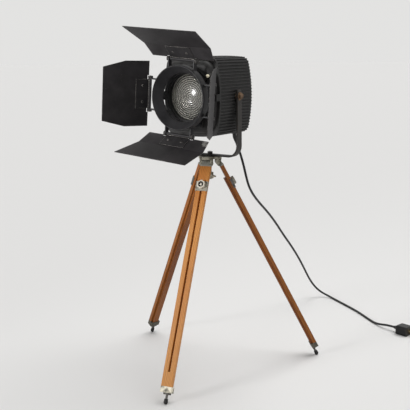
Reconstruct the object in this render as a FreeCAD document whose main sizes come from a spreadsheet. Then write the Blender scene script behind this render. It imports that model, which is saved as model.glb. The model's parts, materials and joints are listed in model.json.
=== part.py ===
import FreeCAD, Part
import math
import operator
import os
from types import SimpleNamespace

import Sketcher
from FreeCAD import Placement, Rotation, Vector

# A theatre spotlight with four barn doors on a wooden tripod.
# Millimetres; the origin is on the floor under the tripod, +Z up, and the lamp's nose looks along -Y.

SIZES = {
    # tripod head
    "plate_top": 749.0,
    "plate_radius": 40.0,
    "plate_thick": 7.0,
    "pin_circle": 27.0,
    "pin_drop": 22.0,
    "pin_radius": 3.0,
    "cheek_thick": 4.0,
    "cheek_round": 9.0,
    "bracket_base": 4.0,
    "bracket_depth": 20.0,
    "first_leg_turn": 12.5,
    "leg_splay": 27.1,
    # pan screw
    "screw_radius": 5.0,
    "screw_collar": 7.0,
    "pan_knob_radius": 22.0,
    "pan_knob_thick": 15.0,
    "pan_knob_web": 7.0,
    "pan_knob_point": 4.0,
    "pan_knob_drop": 71.0,
    "weld_nut_flats": 17.0,
    "weld_nut_height": 8.0,
    # legs
    "eye_radius": 9.0,
    "board_width": 38.0,
    "board_thick": 13.0,
    "board_outer": 11.5,
    "board_top": 15.5,
    "board_end": 758.0,
    "shoulder_top": 10.5,
    "slot_width": 6.8,
    "slot_margin": 46.0,
    "tongue_width": 22.0,
    "tongue_thick": 5.0,
    "tongue_depth": 26.0,
    "bar_width": 24.0,
    "bar_thick": 7.5,
    "bar_top": 62.0,
    "ferrule_length": 19.0,
    "ferrule_wall": 1.6,
    "clamp_drop": 83.0,
    "clamp_radius": 3.0,
    "clamp_plate_height": 34.0,
    "clamp_plate_thick": 2.0,
    "clamp_side_depth": 8.0,
    "clamp_knob_radius": 15.0,
    "clamp_knob_thick": 9.0,
    "clamp_knob_turn": 30.0,
    "clamp_knob_recess": 5.0,
    "foot_collar": 6.0,
    "spike_radius": 4.0,
    "tip_radius": 7.0,
    "tip_length": 17.0,
    # yoke
    "yoke_side_gap": 8.7,
    "strap_width": 25.0,
    "strap_thick": 6.0,
    "yoke_bend": 40.0,
    "under_house_gap": 76.0,
    "arm_above_pivot": 22.0,
    # lamp house, seen from its own tilt axis
    "house_front": 103.0,
    "house_rear": 91.0,
    "house_half_width": 109.0,
    "house_half_height": 127.0,
    "side_bulge": 470.0,
    "top_bulge": 900.0,
    "house_corner": 22.0,
    "house_wall": 3.5,
    "rib_height": 4.0,
    "rib_pitch": 10.3,
    "rib_base": 5.6,
    "rib_tip": 3.2,
    "flange_depth": 6.0,
    "cover_thick": 6.0,
    "spigot_depth": 3.0,
    "cover_screw_radius": 2.0,
    "cover_screw_in": 38.0,
    "cover_screw_down": 31.0,
    "cover_post": 22.0,
    "cover_web": 34.0,
    "cover_screw_length": 18.0,
    "vent_width": 70.0,
    "vent_height": 5.0,
    "vent_pitch": 14.0,
    "trunnion_radius": 5.0,
    "trunnion_boss": 16.0,
    "washer_radius": 13.0,
    "washer_thick": 1.6,
    "trunnion_flats": 17.0,
    "trunnion_head": 7.0,
    "tilt_knob_radius": 19.0,
    "tilt_knob_thick": 20.0,
    # cord outlet
    "outlet_x": 50.0,
    "outlet_y": 76.0,
    "gland_stem": 8.0,
    "gland_boss": 10.0,
    "gland_flats": 20.0,
    "gland_flange": 4.0,
    "relief_radius": 6.4,
    "relief_tip": 5.0,
    "relief_bend": 30.0,
    "relief_turn": 28.5,
    "relief_straight": 17.5,
    "cord_radius": 4.3,
    "cord_gap": 0.7,
    # focusing gear
    "rod_radius": 4.0,
    "rod_spacing": 45.0,
    "rod_lift": 35.0,
    "bush_radius": 8.0,
    "bush_length": 50.0,
    "crossbar_depth": 6.0,
    "carriage_width": 112.0,
    "carriage_thick": 4.0,
    "carriage_sink": 1.5,
    "focus_screw_radius": 4.0,
    "focus_knob_radius": 15.0,
    "focus_knob_thick": 18.0,
    "socket_radius": 17.0,
    "socket_drop": 46.0,
    "socket_well": 14.0,
    "bulb_radius": 30.0,
    "bulb_neck": 12.0,
    "bulb_y": 5.0,
    "reflector_radius": 60.0,
    "reflector_rim": 48.0,
    "reflector_wall": 1.2,
    "terminal_length": 40.0,
    "terminal_width": 20.0,
    "terminal_inset": 21.0,
    "terminal_height": 14.0,
    "terminal_seat": 1.82,
    # lens door
    "door_gap": 0.4,
    "door_thick": 21.6,
    "door_side_in": 5.0,
    "door_top_in": 7.5,
    "door_edge_round": 19.5,
    "door_corner": 42.0,
    "door_wall": 7.0,
    "door_seat": 4.0,
    "lens_radius": 79.0,
    "lens_window": 76.0,
    "lens_seat_wall": 6.0,
    "lens_inset": 13.0,
    "lens_thick": 5.0,
    "lens_step": 6.818,
    "lens_step_depth": 1.8,
    "clip_section": 2.0,
    "door_pin_out": 6.0,
    "door_pin_y": 112.0,
    "door_pin_radius": 2.5,
    "knuckle_radius": 5.0,
    "knuckle_length": 16.0,
    "knuckle_z": 66.0,
    "catch_out": 9.0,
    "catch_half": 15.0,
    "catch_reach": 20.0,
    # colour frame runners
    "runner_length": 120.0,
    "short_runner": 21.0,
    "runner_web": 18.5,
    "runner_sheet": 1.6,
    "runner_inside": 94.0,
    "runner_wall": 2.5,
    "runner_depth": 9.0,
    "runner_lip": 11.0,
    "latch_x": 89.0,
    "latch_z": 70.0,
    "latch_reach": 25.0,
    "latch_pin_radius": 3.0,
    "latch_boss": 6.5,
    "latch_pad_depth": 9.0,
    # barn door ring
    "ring_turn": 4.6,
    "ring_depth": 55.4,
    "ring_radius": 105.5,
    "ring_wall": 2.0,
    "ring_skirt": 25.0,
    "ring_lip": 3.5,
    "cone_depth": 29.0,
    "ring_bore": 80.0,
    "ring_flange_radius": 92.0,
    "frame_gap": 1.0,
    "window_margin": 3.5,
    "window_from": 8.6,
    "window_to": 38.0,
    "ear_spacing": 50.5,
    "ear_thick": 4.0,
    "ear_radius": 8.0,
    # barn doors
    "wide_hinge_radius": 122.0,
    "side_hinge_radius": 127.5,
    "hinge_from_front": 19.0,
    "leaf_pin_radius": 2.5,
    "leaf_pin_half": 60.0,
    "leaf_nut_radius": 8.5,
    "leaf_knuckle": 5.0,
    "leaf_thick": 1.5,
    "leaf_lift": 4.0,
    "leaf_start": 3.6,
    "hinge_plate_reach": 52.0,
    "hinge_plate_thick": 1.6,
    "leaf_screw_x": 27.0,
    "leaf_screw_y": 26.0,
    "leaf_screw_radius": 2.0,
    "wide_leaf_hinge_half": 121.5,
    "wide_leaf_crease_half": 131.2,
    "wide_leaf_far_half": 142.2,
    "wide_leaf_crease": 56.0,
    "wide_leaf_beyond": 112.5,
    "crease_turn": 20.5,
    "side_leaf_hinge_half": 107.8,
    "side_leaf_kink_half": 107.1,
    "side_leaf_far_half": 87.2,
    "side_leaf_kink": 91.0,
    "side_leaf_length": 171.5,
    "top_leaf_open": 47.3,
    "right_leaf_open": 29.0,
    "bottom_leaf_open": 33.2,
    "left_leaf_open": 22.3,
    # plug
    "boot_length": 17.0,
    "plug_length": 50.0,
    "plug_width": 48.0,
    "plug_height": 36.0,
    "plug_round": 8.0,
    "pin_length": 17.0,
    "pin_width": 6.3,
    "pin_thick": 1.6,
    "pin_spread": 7.0,
    "pin_lift": 4.0,
    # clearances
    "slide_gap": 0.35,
    "running_gap": 0.05,
    "seat_gap": 0.02,
}

# The cord's route from the strain relief to the plug, as the corners of its bends.
CORD_FALL = [
    (50.8, 100.5, 768.0),
    (55.5, 113.0, 735.0),
    (58.5, 126.0, 697.0),
    (60.0, 138.0, 661.0),
    (58.5, 157.0, 625.0),
    (52.0, 196.0, 588.0),
    (40.0, 262.0, 544.0),
    (25.0, 345.0, 495.0),
    (10.0, 431.0, 437.0),
    (-4.0, 521.0, 366.0),
    (-14.0, 603.0, 303.0),
    (-23.0, 672.0, 246.0),
    (-31.0, 740.0, 183.0),
    (-40.0, 808.0, 115.0),
    (-43.0, 862.0, 64.0),
    (-27.0, 898.0, 25.0),
]
CORD_FLOOR = [
    (22.0, 908.0),
    (83.0, 868.0),
    (149.0, 827.0),
    (216.0, 782.0),
    (283.0, 728.0),
    (330.0, 691.0),
]
CORD_RISE = [
    (364.0, 672.0, 10.5),
    (397.0, 660.0, 18.2),
    (430.0, 653.0, 18.2),
]
LEGS = (1, 2, 3)
LEAVES = ("top", "right", "bottom", "left")
WIDE_LEAVES = ("top", "bottom")
QUARTER = 90.0

doc = FreeCAD.newDocument("Spotlight")
sheet = doc.addObject("Spreadsheet::Sheet", "Sizes")
for row, (alias, value) in enumerate(SIZES.items(), start=1):
    sheet.set(f"A{row}", alias.replace("_", " "))
    sheet.set(f"B{row}", str(value))
    sheet.setAlias(f"B{row}", alias)
doc.recompute()

OPERATIONS = {"+": operator.add, "-": operator.sub, "*": operator.mul, "/": operator.truediv}


class Size:
    """A number with the sheet formula that gives it, so that one sum both computes and binds."""

    def __init__(self, value, formula):
        self.value = float(value)
        self.formula = formula

    def __float__(self):
        return self.value

    def __add__(self, other):
        return combine(self, "+", other)

    def __radd__(self, other):
        return combine(other, "+", self)

    def __sub__(self, other):
        return combine(self, "-", other)

    def __rsub__(self, other):
        return combine(other, "-", self)

    def __mul__(self, other):
        return combine(self, "*", other)

    def __rmul__(self, other):
        return combine(other, "*", self)

    def __truediv__(self, other):
        return combine(self, "/", other)

    def __neg__(self):
        return combine(0, "-", self)


def formula(term):
    if isinstance(term, Size):
        return term.formula
    return f"{float(term):.6g}"


def combine(left, sign, right):
    value = OPERATIONS[sign](float(left), float(right))
    return Size(value, f"({formula(left)} {sign} {formula(right)})")


dim = SimpleNamespace(**{alias: Size(sheet.get(alias), f"Sizes.{alias}") for alias in SIZES})
nodes = []

yoke_half = dim.house_half_width + dim.rib_height + dim.yoke_side_gap
tilt_height = dim.plate_top + dim.house_half_height + dim.rib_height + dim.under_house_gap


# ---------------------------------------------------------------- building blocks


def bind(obj, **values):
    """Set properties and bind those that come from the sheet."""
    for name, value in values.items():
        if isinstance(value, Size):
            setattr(obj, name, value.value)
            obj.setExpression(name, value.formula)
        else:
            setattr(obj, name, value)
    return obj


def put(obj, x, y, z, rotation=None):
    """Place an object, its position bound to the sheet."""
    base = Vector(float(x), float(y), float(z))
    obj.Placement = Placement(base, rotation or Rotation())
    for axis, value in (("x", x), ("y", y), ("z", z)):
        if isinstance(value, Size):
            obj.setExpression(f"Placement.Base.{axis}", value.formula)
    return obj


def block(name, x, y, z):
    """A box between two values along each axis."""
    obj = doc.addObject("Part::Box", name)
    bind(obj, Length=x[1] - x[0], Width=y[1] - y[0], Height=z[1] - z[0])
    return put(obj, x[0], y[0], z[0])


AXIS_TURN = {
    "x": Rotation(Vector(0, 1, 0), 90),
    "y": Rotation(Vector(1, 0, 0), -90),
    "z": Rotation(),
}


def along(obj, axis, centre, start):
    """Put a shape that grows along its own Z so that it grows along the named axis instead."""
    first, second = centre
    if axis == "x":
        return put(obj, start, first, second, AXIS_TURN[axis])
    if axis == "y":
        return put(obj, first, start, second, AXIS_TURN[axis])
    return put(obj, first, second, start, AXIS_TURN[axis])


def rod(name, axis, centre, start, end, radius):
    """A cylinder along one axis; centre gives its place on the other two."""
    obj = doc.addObject("Part::Cylinder", name)
    bind(obj, Radius=radius, Height=end - start)
    return along(obj, axis, centre, start)


def taper(name, axis, centre, start, end, radius_start, radius_end):
    """A cone frustum along one axis."""
    obj = doc.addObject("Part::Cone", name)
    bind(obj, Radius1=radius_start, Radius2=radius_end, Height=end - start)
    return along(obj, axis, centre, start)


def hexagon(name, axis, centre, start, end, flats):
    """A hexagonal prism along one axis, given its size across flats."""
    obj = doc.addObject("Part::Prism", name)
    obj.Polygon = 6
    bind(obj, Circumradius=flats / math.sqrt(3), Height=end - start)
    return along(obj, axis, centre, start)


def ball(name, centre, radius):
    obj = doc.addObject("Part::Sphere", name)
    bind(obj, Radius=radius)
    return put(obj, *centre)


def fuse(name, *shapes):
    obj = doc.addObject("Part::MultiFuse", name)
    obj.Shapes = list(shapes)
    obj.Refine = True
    return obj


def cut(name, base, *tools):
    obj = doc.addObject("Part::Cut", name)
    obj.Base = base
    obj.Tool = tools[0] if len(tools) == 1 else fuse(f"{name}_tools", *tools)
    return obj


def group(name, *shapes):
    """Separate solids in one piece, such as a set of equal fasteners."""
    obj = doc.addObject("Part::Compound", name)
    obj.Links = list(shapes)
    return obj


def feature(name, shape):
    obj = doc.addObject("Part::Feature", name)
    obj.Shape = shape
    return obj


def node(label, obj, placement=None):
    """Name a finished sub-part and put it in its place."""
    obj.Label = label
    if placement is not None:
        obj.Placement = placement
    nodes.append(obj)
    return obj


def lamp_node(label, obj):
    """A finished sub-part drawn from the tilt axis, lifted to the tilt axis."""
    node(label, obj)
    return put(obj, 0, 0, tilt_height)


def shift(x=0.0, y=0.0, z=0.0):
    return Placement(Vector(float(x), float(y), float(z)), Rotation())


def turn(axis, angle):
    return Placement(Vector(), Rotation(axis, float(angle)))


X_AXIS = Vector(1, 0, 0)
Y_AXIS = Vector(0, 1, 0)
Z_AXIS = Vector(0, 0, 1)


# ---------------------------------------------------------------- sketched bodies


def body(name):
    return doc.addObject("PartDesign::Body", name)


def sketch_on(owner, role, name):
    sketch = owner.newObject("Sketcher::SketchObject", name)
    planes = [plane for plane in owner.Origin.OriginFeatures if plane.Role == role]
    sketch.AttachmentSupport = [(planes[0], "")]
    sketch.MapMode = "FlatFace"
    return sketch


def draw_polygon(sketch, corners):
    """A closed outline whose corners are each bound to the sheet."""
    first = sketch.GeometryCount
    count = len(corners)
    points = [Vector(float(u), float(v), 0) for u, v in corners]
    for i in range(count):
        sketch.addGeometry(Part.LineSegment(points[i], points[(i + 1) % count]), False)
    for i in range(count):
        after = first + (i + 1) % count
        sketch.addConstraint(Sketcher.Constraint("Coincident", first + i, 2, after, 1))
    for i, (u, v) in enumerate(corners):
        for kind, value in (("DistanceX", u), ("DistanceY", v)):
            place = sketch.addConstraint(Sketcher.Constraint(kind, -1, 1, first + i, 1, float(value)))
            if isinstance(value, Size):
                sketch.setExpression(f"Constraints[{place}]", value.formula)


def draw_circle(sketch, centre, radius):
    spot = Vector(float(centre[0]), float(centre[1]), 0)
    curve = sketch.addGeometry(Part.Circle(spot, Vector(0, 0, 1), float(radius)), False)
    for kind, value in (("DistanceX", centre[0]), ("DistanceY", centre[1])):
        place = sketch.addConstraint(Sketcher.Constraint(kind, -1, 1, curve, 3, float(value)))
        if isinstance(value, Size):
            sketch.setExpression(f"Constraints[{place}]", value.formula)
    place = sketch.addConstraint(Sketcher.Constraint("Radius", curve, float(radius)))
    sketch.setExpression(f"Constraints[{place}]", formula(radius))


def pad(owner, sketch, length, both_ways=False):
    obj = owner.newObject("PartDesign::Pad", f"{owner.Name}_pad")
    obj.Profile = sketch
    obj.Midplane = both_ways
    return bind(obj, Length=length)


def edges_along(shape, axis, tests):
    """Names of the straight edges along an axis that pass one of the tests on their midpoint."""
    found = []
    for number, edge in enumerate(shape.Edges, start=1):
        direction = edge.Vertexes[-1].Point - edge.Vertexes[0].Point
        if direction.Length < 1e-6 or abs(direction.normalize().dot(axis)) < 0.999:
            continue
        middle = edge.CenterOfMass
        if any(test(middle) for test in tests):
            found.append(f"Edge{number}")
    return found


def near(first, second, tolerance=0.5):
    return abs(float(first) - float(second)) < tolerance


# ---------------------------------------------------------------- barrel-sided sections


def barrel_arcs(half_width, half_height, grow, corner):
    """The eight tangent arcs of a barrel-sided section: centre x, centre z, radius, start, end."""
    width = float(half_width)
    height = float(half_height)
    side = float(dim.side_bulge)
    top = float(dim.top_bulge)
    corner = float(corner)
    side_x = width - side
    top_z = height - top
    apart = math.hypot(side_x, top_z)
    side_reach = side - corner
    top_reach = top - corner
    step = (side_reach**2 - top_reach**2 + apart**2) / (2 * apart)
    rise = math.sqrt(side_reach**2 - step**2)
    ux = -side_x / apart
    uz = top_z / apart
    corner_x = side_x + step * ux - rise * uz
    corner_z = step * uz + rise * ux
    low = math.atan2(corner_z, corner_x - side_x)
    high = math.atan2(corner_z - top_z, corner_x)
    half = math.pi
    return [
        (side_x, 0.0, side + grow, -low, low),
        (corner_x, corner_z, corner + grow, low, high),
        (0.0, top_z, top + grow, high, half - high),
        (-corner_x, corner_z, corner + grow, half - high, half - low),
        (-side_x, 0.0, side + grow, half - low, half + low),
        (-corner_x, -corner_z, corner + grow, half + low, half + high),
        (0.0, -top_z, top + grow, half + high, 2 * half - high),
        (corner_x, -corner_z, corner + grow, 2 * half - high, 2 * half - low),
    ]


def on_arc(arc, angle, y, lift=0.0):
    x, z, radius, _, _ = arc
    reach = radius + lift
    return Vector(x + reach * math.cos(angle), y, z + reach * math.sin(angle))


def barrel_solid(half_width, half_height, grow, start, end, corner=dim.house_corner):
    """A smooth barrel-sided block between two stations along Y."""
    edges = []
    for arc in barrel_arcs(half_width, half_height, grow, corner):
        middle = (arc[3] + arc[4]) / 2
        ends = [on_arc(arc, angle, start) for angle in (arc[3], middle, arc[4])]
        edges.append(Part.Arc(*ends).toShape())
    return Part.Face(Part.Wire(edges)).extrude(Vector(0, end - start, 0))


def rounded_rim(solid, station, radius):
    """The solid with the edges that lie at one station along Y rounded off."""
    rim = [edge for edge in solid.Edges if near(edge.CenterOfMass.y, station, 0.01)]
    return solid.makeFillet(float(radius), rim)


def ribbed_solid(half_width, half_height, start, end):
    """The same block with a rib standing up at each pitch all the way round."""
    points = []
    height = float(dim.rib_height)
    for arc in barrel_arcs(half_width, half_height, 0.0, dim.house_corner):
        radius = arc[2]
        sweep = arc[4] - arc[3]
        count = max(1, round(sweep * (radius + height / 2) / float(dim.rib_pitch)))
        for i in range(count):
            middle = arc[3] + sweep * (i + 0.5) / count
            foot = float(dim.rib_base) / 2 / radius
            tip = float(dim.rib_tip) / 2 / (radius + height)
            points.append(on_arc(arc, middle - foot, start))
            points.append(on_arc(arc, middle - tip, start, height))
            points.append(on_arc(arc, middle + tip, start, height))
            points.append(on_arc(arc, middle + foot, start))
    points.append(points[0])
    return Part.Face(Part.makePolygon(points)).extrude(Vector(0, end - start, 0))


def cylinder_between(start, end, radius):
    return Part.makeCylinder(float(radius), (end - start).Length, start, end - start)


def revolved(points, arcs=()):
    """A solid of revolution about Y from (radius, y) points; arcs maps a corner to its bulge point."""
    edges = []
    count = len(points)
    bulges = dict(arcs)
    for i in range(count):
        start = Vector(points[i][0], points[i][1], 0)
        end = Vector(points[(i + 1) % count][0], points[(i + 1) % count][1], 0)
        if i in bulges:
            edges.append(Part.Arc(start, Vector(bulges[i][0], bulges[i][1], 0), end).toShape())
        else:
            edges.append(Part.LineSegment(start, end).toShape())
    face = Part.Face(Part.Wire(edges))
    return face.revolve(Vector(0, 0, 0), Vector(0, 1, 0), 360)


# ---------------------------------------------------------------- tripod head

pin_height = dim.plate_top - dim.pin_drop
plate_under = dim.plate_top - dim.plate_thick
eye_half = dim.board_width / 2 - dim.cheek_thick - dim.slide_gap
cheek_inner = dim.board_width / 2 - dim.cheek_thick
pin_hole = dim.pin_radius + dim.seat_gap


def make_head_plate():
    plate = body("head_plate")
    outline = sketch_on(plate, "XY_Plane", "head_plate_outline")
    draw_circle(outline, (0, 0), dim.plate_radius)
    draw_circle(outline, (0, 0), dim.screw_radius + dim.running_gap)
    pad(plate, outline, dim.plate_thick)
    node("head_plate", plate)
    put(plate, 0, 0, plate_under)


def leg_frame(number):
    """Where a leg's hinge pin stands, with the pin along the leg's own X."""
    angle = float(dim.first_leg_turn) + 360.0 / len(LEGS) * (number - 1)
    return turn(Z_AXIS, angle) * shift(0, -dim.pin_circle, pin_height)


def make_leg_brackets():
    """Three forked brackets under the plate, each with its hinge pin."""
    pieces = []
    roof = dim.pin_drop - dim.plate_thick
    for number in LEGS:
        name = f"bracket_{number}"
        half = dim.board_width / 2
        base = block(f"{name}_base", (-half, half), (-dim.bracket_depth / 2, dim.bracket_depth / 2),
                     (roof - dim.bracket_base, roof))
        solids = [base]
        for side, start in (("left", -half), ("right", cheek_inner)):
            end = start + dim.cheek_thick
            cheek = block(f"{name}_{side}", (start, end), (-dim.cheek_round, dim.cheek_round), (0, roof))
            nose = rod(f"{name}_{side}_nose", "x", (0, 0), start, end, dim.cheek_round)
            solids += [cheek, nose]
        hole = rod(f"{name}_hole", "x", (0, 0), -half - 1, half + 1, pin_hole)
        bracket = cut(name, fuse(f"{name}_solid", *solids), hole)
        bracket.Placement = leg_frame(number)
        shank = rod(f"{name}_pin_shank", "x", (0, 0), -half - 1, half + 1, dim.pin_radius)
        head = rod(f"{name}_pin_head", "x", (0, 0), half, half + 2, dim.pin_radius * 1.7)
        pin = fuse(f"{name}_pin", shank, head)
        pin.Placement = leg_frame(number)
        pieces += [bracket, pin]
    node("leg_brackets", group("leg_brackets", *pieces))


# ---------------------------------------------------------------- pan screw and knob

knob_height = dim.plate_top - dim.pan_knob_drop
bar_under = dim.plate_top + dim.slide_gap
bar_over = bar_under + dim.strap_thick
nut_top = bar_over + dim.weld_nut_height


def make_pan_screw():
    knob_low = knob_height - dim.pan_knob_thick / 2
    shank = rod("pan_screw_shank", "z", (0, 0), knob_low - 3, nut_top + 2, dim.screw_radius)
    collar = rod("pan_screw_collar", "z", (0, 0), plate_under - 6, plate_under - dim.slide_gap,
                 dim.screw_collar)
    node("pan_screw", fuse("pan_screw", shank, collar))


def make_pan_knob():
    """A knob with two pointed wings and a hub, held on the lower end of the pan screw."""
    half = dim.pan_knob_thick / 2
    low = knob_height - half
    high = knob_height + half
    hub = rod("pan_knob_hub", "z", (0, 0), low, high + 6, dim.pan_knob_radius / 2)
    wings = body("pan_knob_wings")
    outline = sketch_on(wings, "XZ_Plane", "pan_knob_wings_outline")
    reach = dim.pan_knob_radius
    point = dim.pan_knob_point / 2
    draw_polygon(outline, [(-reach, -point), (0, -half), (reach, -point),
                           (reach, point), (0, half), (-reach, point)])
    pad(wings, outline, dim.pan_knob_web, both_ways=True)
    put(wings, 0, 0, knob_height)
    bore = rod("pan_knob_bore", "z", (0, 0), low - 1, high + 7, dim.screw_radius + dim.seat_gap)
    node("pan_knob", cut("pan_knob", fuse("pan_knob_solid", hub, wings), bore))


# ---------------------------------------------------------------- legs, each drawn hanging down from its pin

board_inner = dim.board_thick - dim.board_outer
bar_outer = board_inner + dim.slide_gap
bar_inner = bar_outer + dim.bar_thick
bar_middle = bar_outer + dim.bar_thick / 2
ferrule_end = dim.board_end + dim.ferrule_length
splay = math.radians(float(dim.leg_splay))
tip_fall = float(pin_height) - float(dim.tip_radius) - float(bar_middle) * math.sin(splay)
tip_centre = tip_fall / math.cos(splay)


def leg_place(number):
    return leg_frame(number) * turn(X_AXIS, -dim.leg_splay)


def make_leg_board(number):
    """The outer board with its long slot, and a mortise for the fitting's tongue."""
    name = f"leg_{number}_board"
    board = body(name)
    half = dim.board_width / 2
    slot_top = dim.clamp_drop - dim.slot_width
    outline = sketch_on(board, "XZ_Plane", f"{name}_outline")
    draw_polygon(outline, [(-half, -dim.board_end), (half, -dim.board_end),
                           (half, -dim.board_top), (-half, -dim.board_top)])
    half_slot = dim.slot_width / 2
    slot_end = dim.board_end - dim.slot_margin
    draw_polygon(outline, [(-half_slot, -slot_end), (half_slot, -slot_end),
                           (half_slot, -slot_top), (-half_slot, -slot_top)])
    pad(board, outline, dim.board_thick)
    put(board, 0, board_inner, 0)
    half_tongue = dim.tongue_width / 2 + dim.running_gap
    middle = board_inner - dim.board_thick / 2
    deep = dim.tongue_thick / 2 + dim.running_gap
    mortise = block(f"{name}_mortise", (-half_tongue, half_tongue), (middle - deep, middle + deep),
                    (-dim.board_top - dim.tongue_depth, -dim.board_top + 1))
    board.Label = f"{name}_blank"
    node(name, cut(f"{name}_cut", board, mortise), leg_place(number))


def make_leg_fittings(number):
    """The hinge fitting on top of the board, and the ferrule at its end that guides the bar."""
    name = f"leg_{number}_fittings"
    half = dim.board_width / 2
    eye = rod(f"{name}_eye", "x", (0, 0), -eye_half, eye_half, dim.eye_radius)
    neck = block(f"{name}_neck", (-eye_half, eye_half), (-dim.board_outer + 1.5, board_inner + 5),
                 (-dim.shoulder_top - 1, -2))
    shoulder = block(f"{name}_shoulder", (-half, half), (-dim.board_outer - 1, board_inner + 1),
                     (-dim.board_top, -dim.shoulder_top))
    middle = board_inner - dim.board_thick / 2
    tongue = block(f"{name}_tongue", (-dim.tongue_width / 2, dim.tongue_width / 2),
                   (middle - dim.tongue_thick / 2, middle + dim.tongue_thick / 2),
                   (-dim.board_top - dim.tongue_depth + 1, -dim.board_top))
    hole = rod(f"{name}_hole", "x", (0, 0), -half, half, dim.pin_radius + dim.running_gap)
    top = cut(f"{name}_top", fuse(f"{name}_top_solid", eye, neck, shoulder, tongue), hole)
    guide_half = dim.bar_width / 2 + dim.slide_gap
    guide_out = bar_outer - dim.slide_gap
    guide_in = bar_inner + dim.slide_gap
    cap = block(f"{name}_cap", (-half, half), (-dim.board_outer, guide_in + dim.ferrule_wall),
                (-ferrule_end, -dim.board_end))
    guide = block(f"{name}_guide", (-guide_half, guide_half), (guide_out, guide_in),
                  (-ferrule_end - 1, -dim.board_end + 1))
    node(name, group(f"{name}_group", top, cut(f"{name}_ferrule", cap, guide)), leg_place(number))


def make_leg_bar(number):
    name = f"leg_{number}_bar"
    bar = body(name)
    half = dim.bar_width / 2
    outline = sketch_on(bar, "XZ_Plane", f"{name}_outline")
    draw_polygon(outline, [(-half, -ferrule_end), (half, -ferrule_end),
                           (half, -dim.bar_top), (-half, -dim.bar_top)])
    draw_circle(outline, (0, -dim.clamp_drop), dim.clamp_radius + dim.running_gap)
    pad(bar, outline, dim.bar_thick)
    node(name, bar, leg_place(number) * shift(y=bar_inner))


def make_leg_foot(number):
    """The steel collar on the bar's end and its spike."""
    name = f"leg_{number}_foot"
    half = dim.bar_width / 2
    collar_end = ferrule_end + dim.foot_collar
    collar = block(f"{name}_collar", (-half, half), (bar_outer, bar_inner), (-collar_end, -ferrule_end))
    spike = rod(f"{name}_spike", "z", (0, bar_middle), -tip_centre, -collar_end + 1, dim.spike_radius)
    node(name, fuse(name, collar, spike), leg_place(number))


def make_leg_tip(number):
    """The rubber tip, a sleeve with a round end pushed over the spike."""
    name = f"leg_{number}_tip"
    top = dim.tip_length - dim.tip_radius - tip_centre
    sleeve = taper(f"{name}_sleeve", "z", (0, bar_middle), -tip_centre, top,
                   dim.tip_radius, dim.tip_radius * 0.86)
    end = ball(f"{name}_end", (0, bar_middle, -tip_centre), dim.tip_radius)
    hole = rod(f"{name}_hole", "z", (0, bar_middle), -tip_centre, top + 1,
               dim.spike_radius + dim.seat_gap)
    node(name, cut(name, fuse(f"{name}_solid", sleeve, end), hole), leg_place(number))


plate_face = -dim.board_outer - dim.slide_gap


def make_leg_clamp(number):
    """A saddle under the clamp knob: a pressure plate whose sides keep it straight on the board."""
    name = f"leg_{number}_clamp"
    inner = dim.board_width / 2 + dim.slide_gap
    outer = inner + dim.clamp_plate_thick
    front = plate_face - dim.clamp_plate_thick
    low = -dim.clamp_drop - dim.clamp_plate_height * 0.62
    high = low + dim.clamp_plate_height
    solids = [block(f"{name}_plate", (-outer, outer), (front, plate_face), (low, high))]
    for side, start in (("left", -outer), ("right", inner)):
        solids.append(block(f"{name}_{side}_side", (start, start + dim.clamp_plate_thick),
                            (front, front + dim.clamp_side_depth), (low, high)))
    hole = rod(f"{name}_hole", "y", (0, -dim.clamp_drop), front - 1, plate_face + 1,
               dim.clamp_radius + dim.running_gap)
    node(name, cut(name, fuse(f"{name}_saddle", *solids), hole), leg_place(number))


def make_leg_knob(number):
    """A six-sided clamp knob, hollow in front, with its bolt through the slot and the bar."""
    name = f"leg_{number}_knob"
    back = plate_face - dim.clamp_plate_thick - dim.slide_gap
    front = back - dim.clamp_knob_thick
    centre = (0, 0)
    star = hexagon(f"{name}_star", "y", centre, front, back, dim.clamp_knob_radius * 1.8)
    limit = rod(f"{name}_limit", "y", centre, front, back, dim.clamp_knob_radius)
    rounded = doc.addObject("Part::Common", f"{name}_rounded")
    rounded.Base = star
    rounded.Tool = limit
    recess_end = front + dim.clamp_knob_recess
    recess = rod(f"{name}_recess", "y", centre, front - 1, recess_end, dim.clamp_knob_radius * 0.6)
    bowl = cut(f"{name}_bowl", rounded, recess)
    nut = hexagon(f"{name}_nut", "y", centre, recess_end - 2.5, recess_end + 1, dim.clamp_radius * 2.7)
    bolt = rod(f"{name}_bolt", "y", centre, front + 0.5, bar_inner, dim.clamp_radius)
    place = leg_place(number) * shift(z=-dim.clamp_drop) * turn(Y_AXIS, dim.clamp_knob_turn)
    node(name, fuse(name, bowl, nut, bolt), place)


# ---------------------------------------------------------------- yoke

arm_inner = yoke_half - dim.strap_thick
strap_half = dim.strap_width / 2


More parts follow.
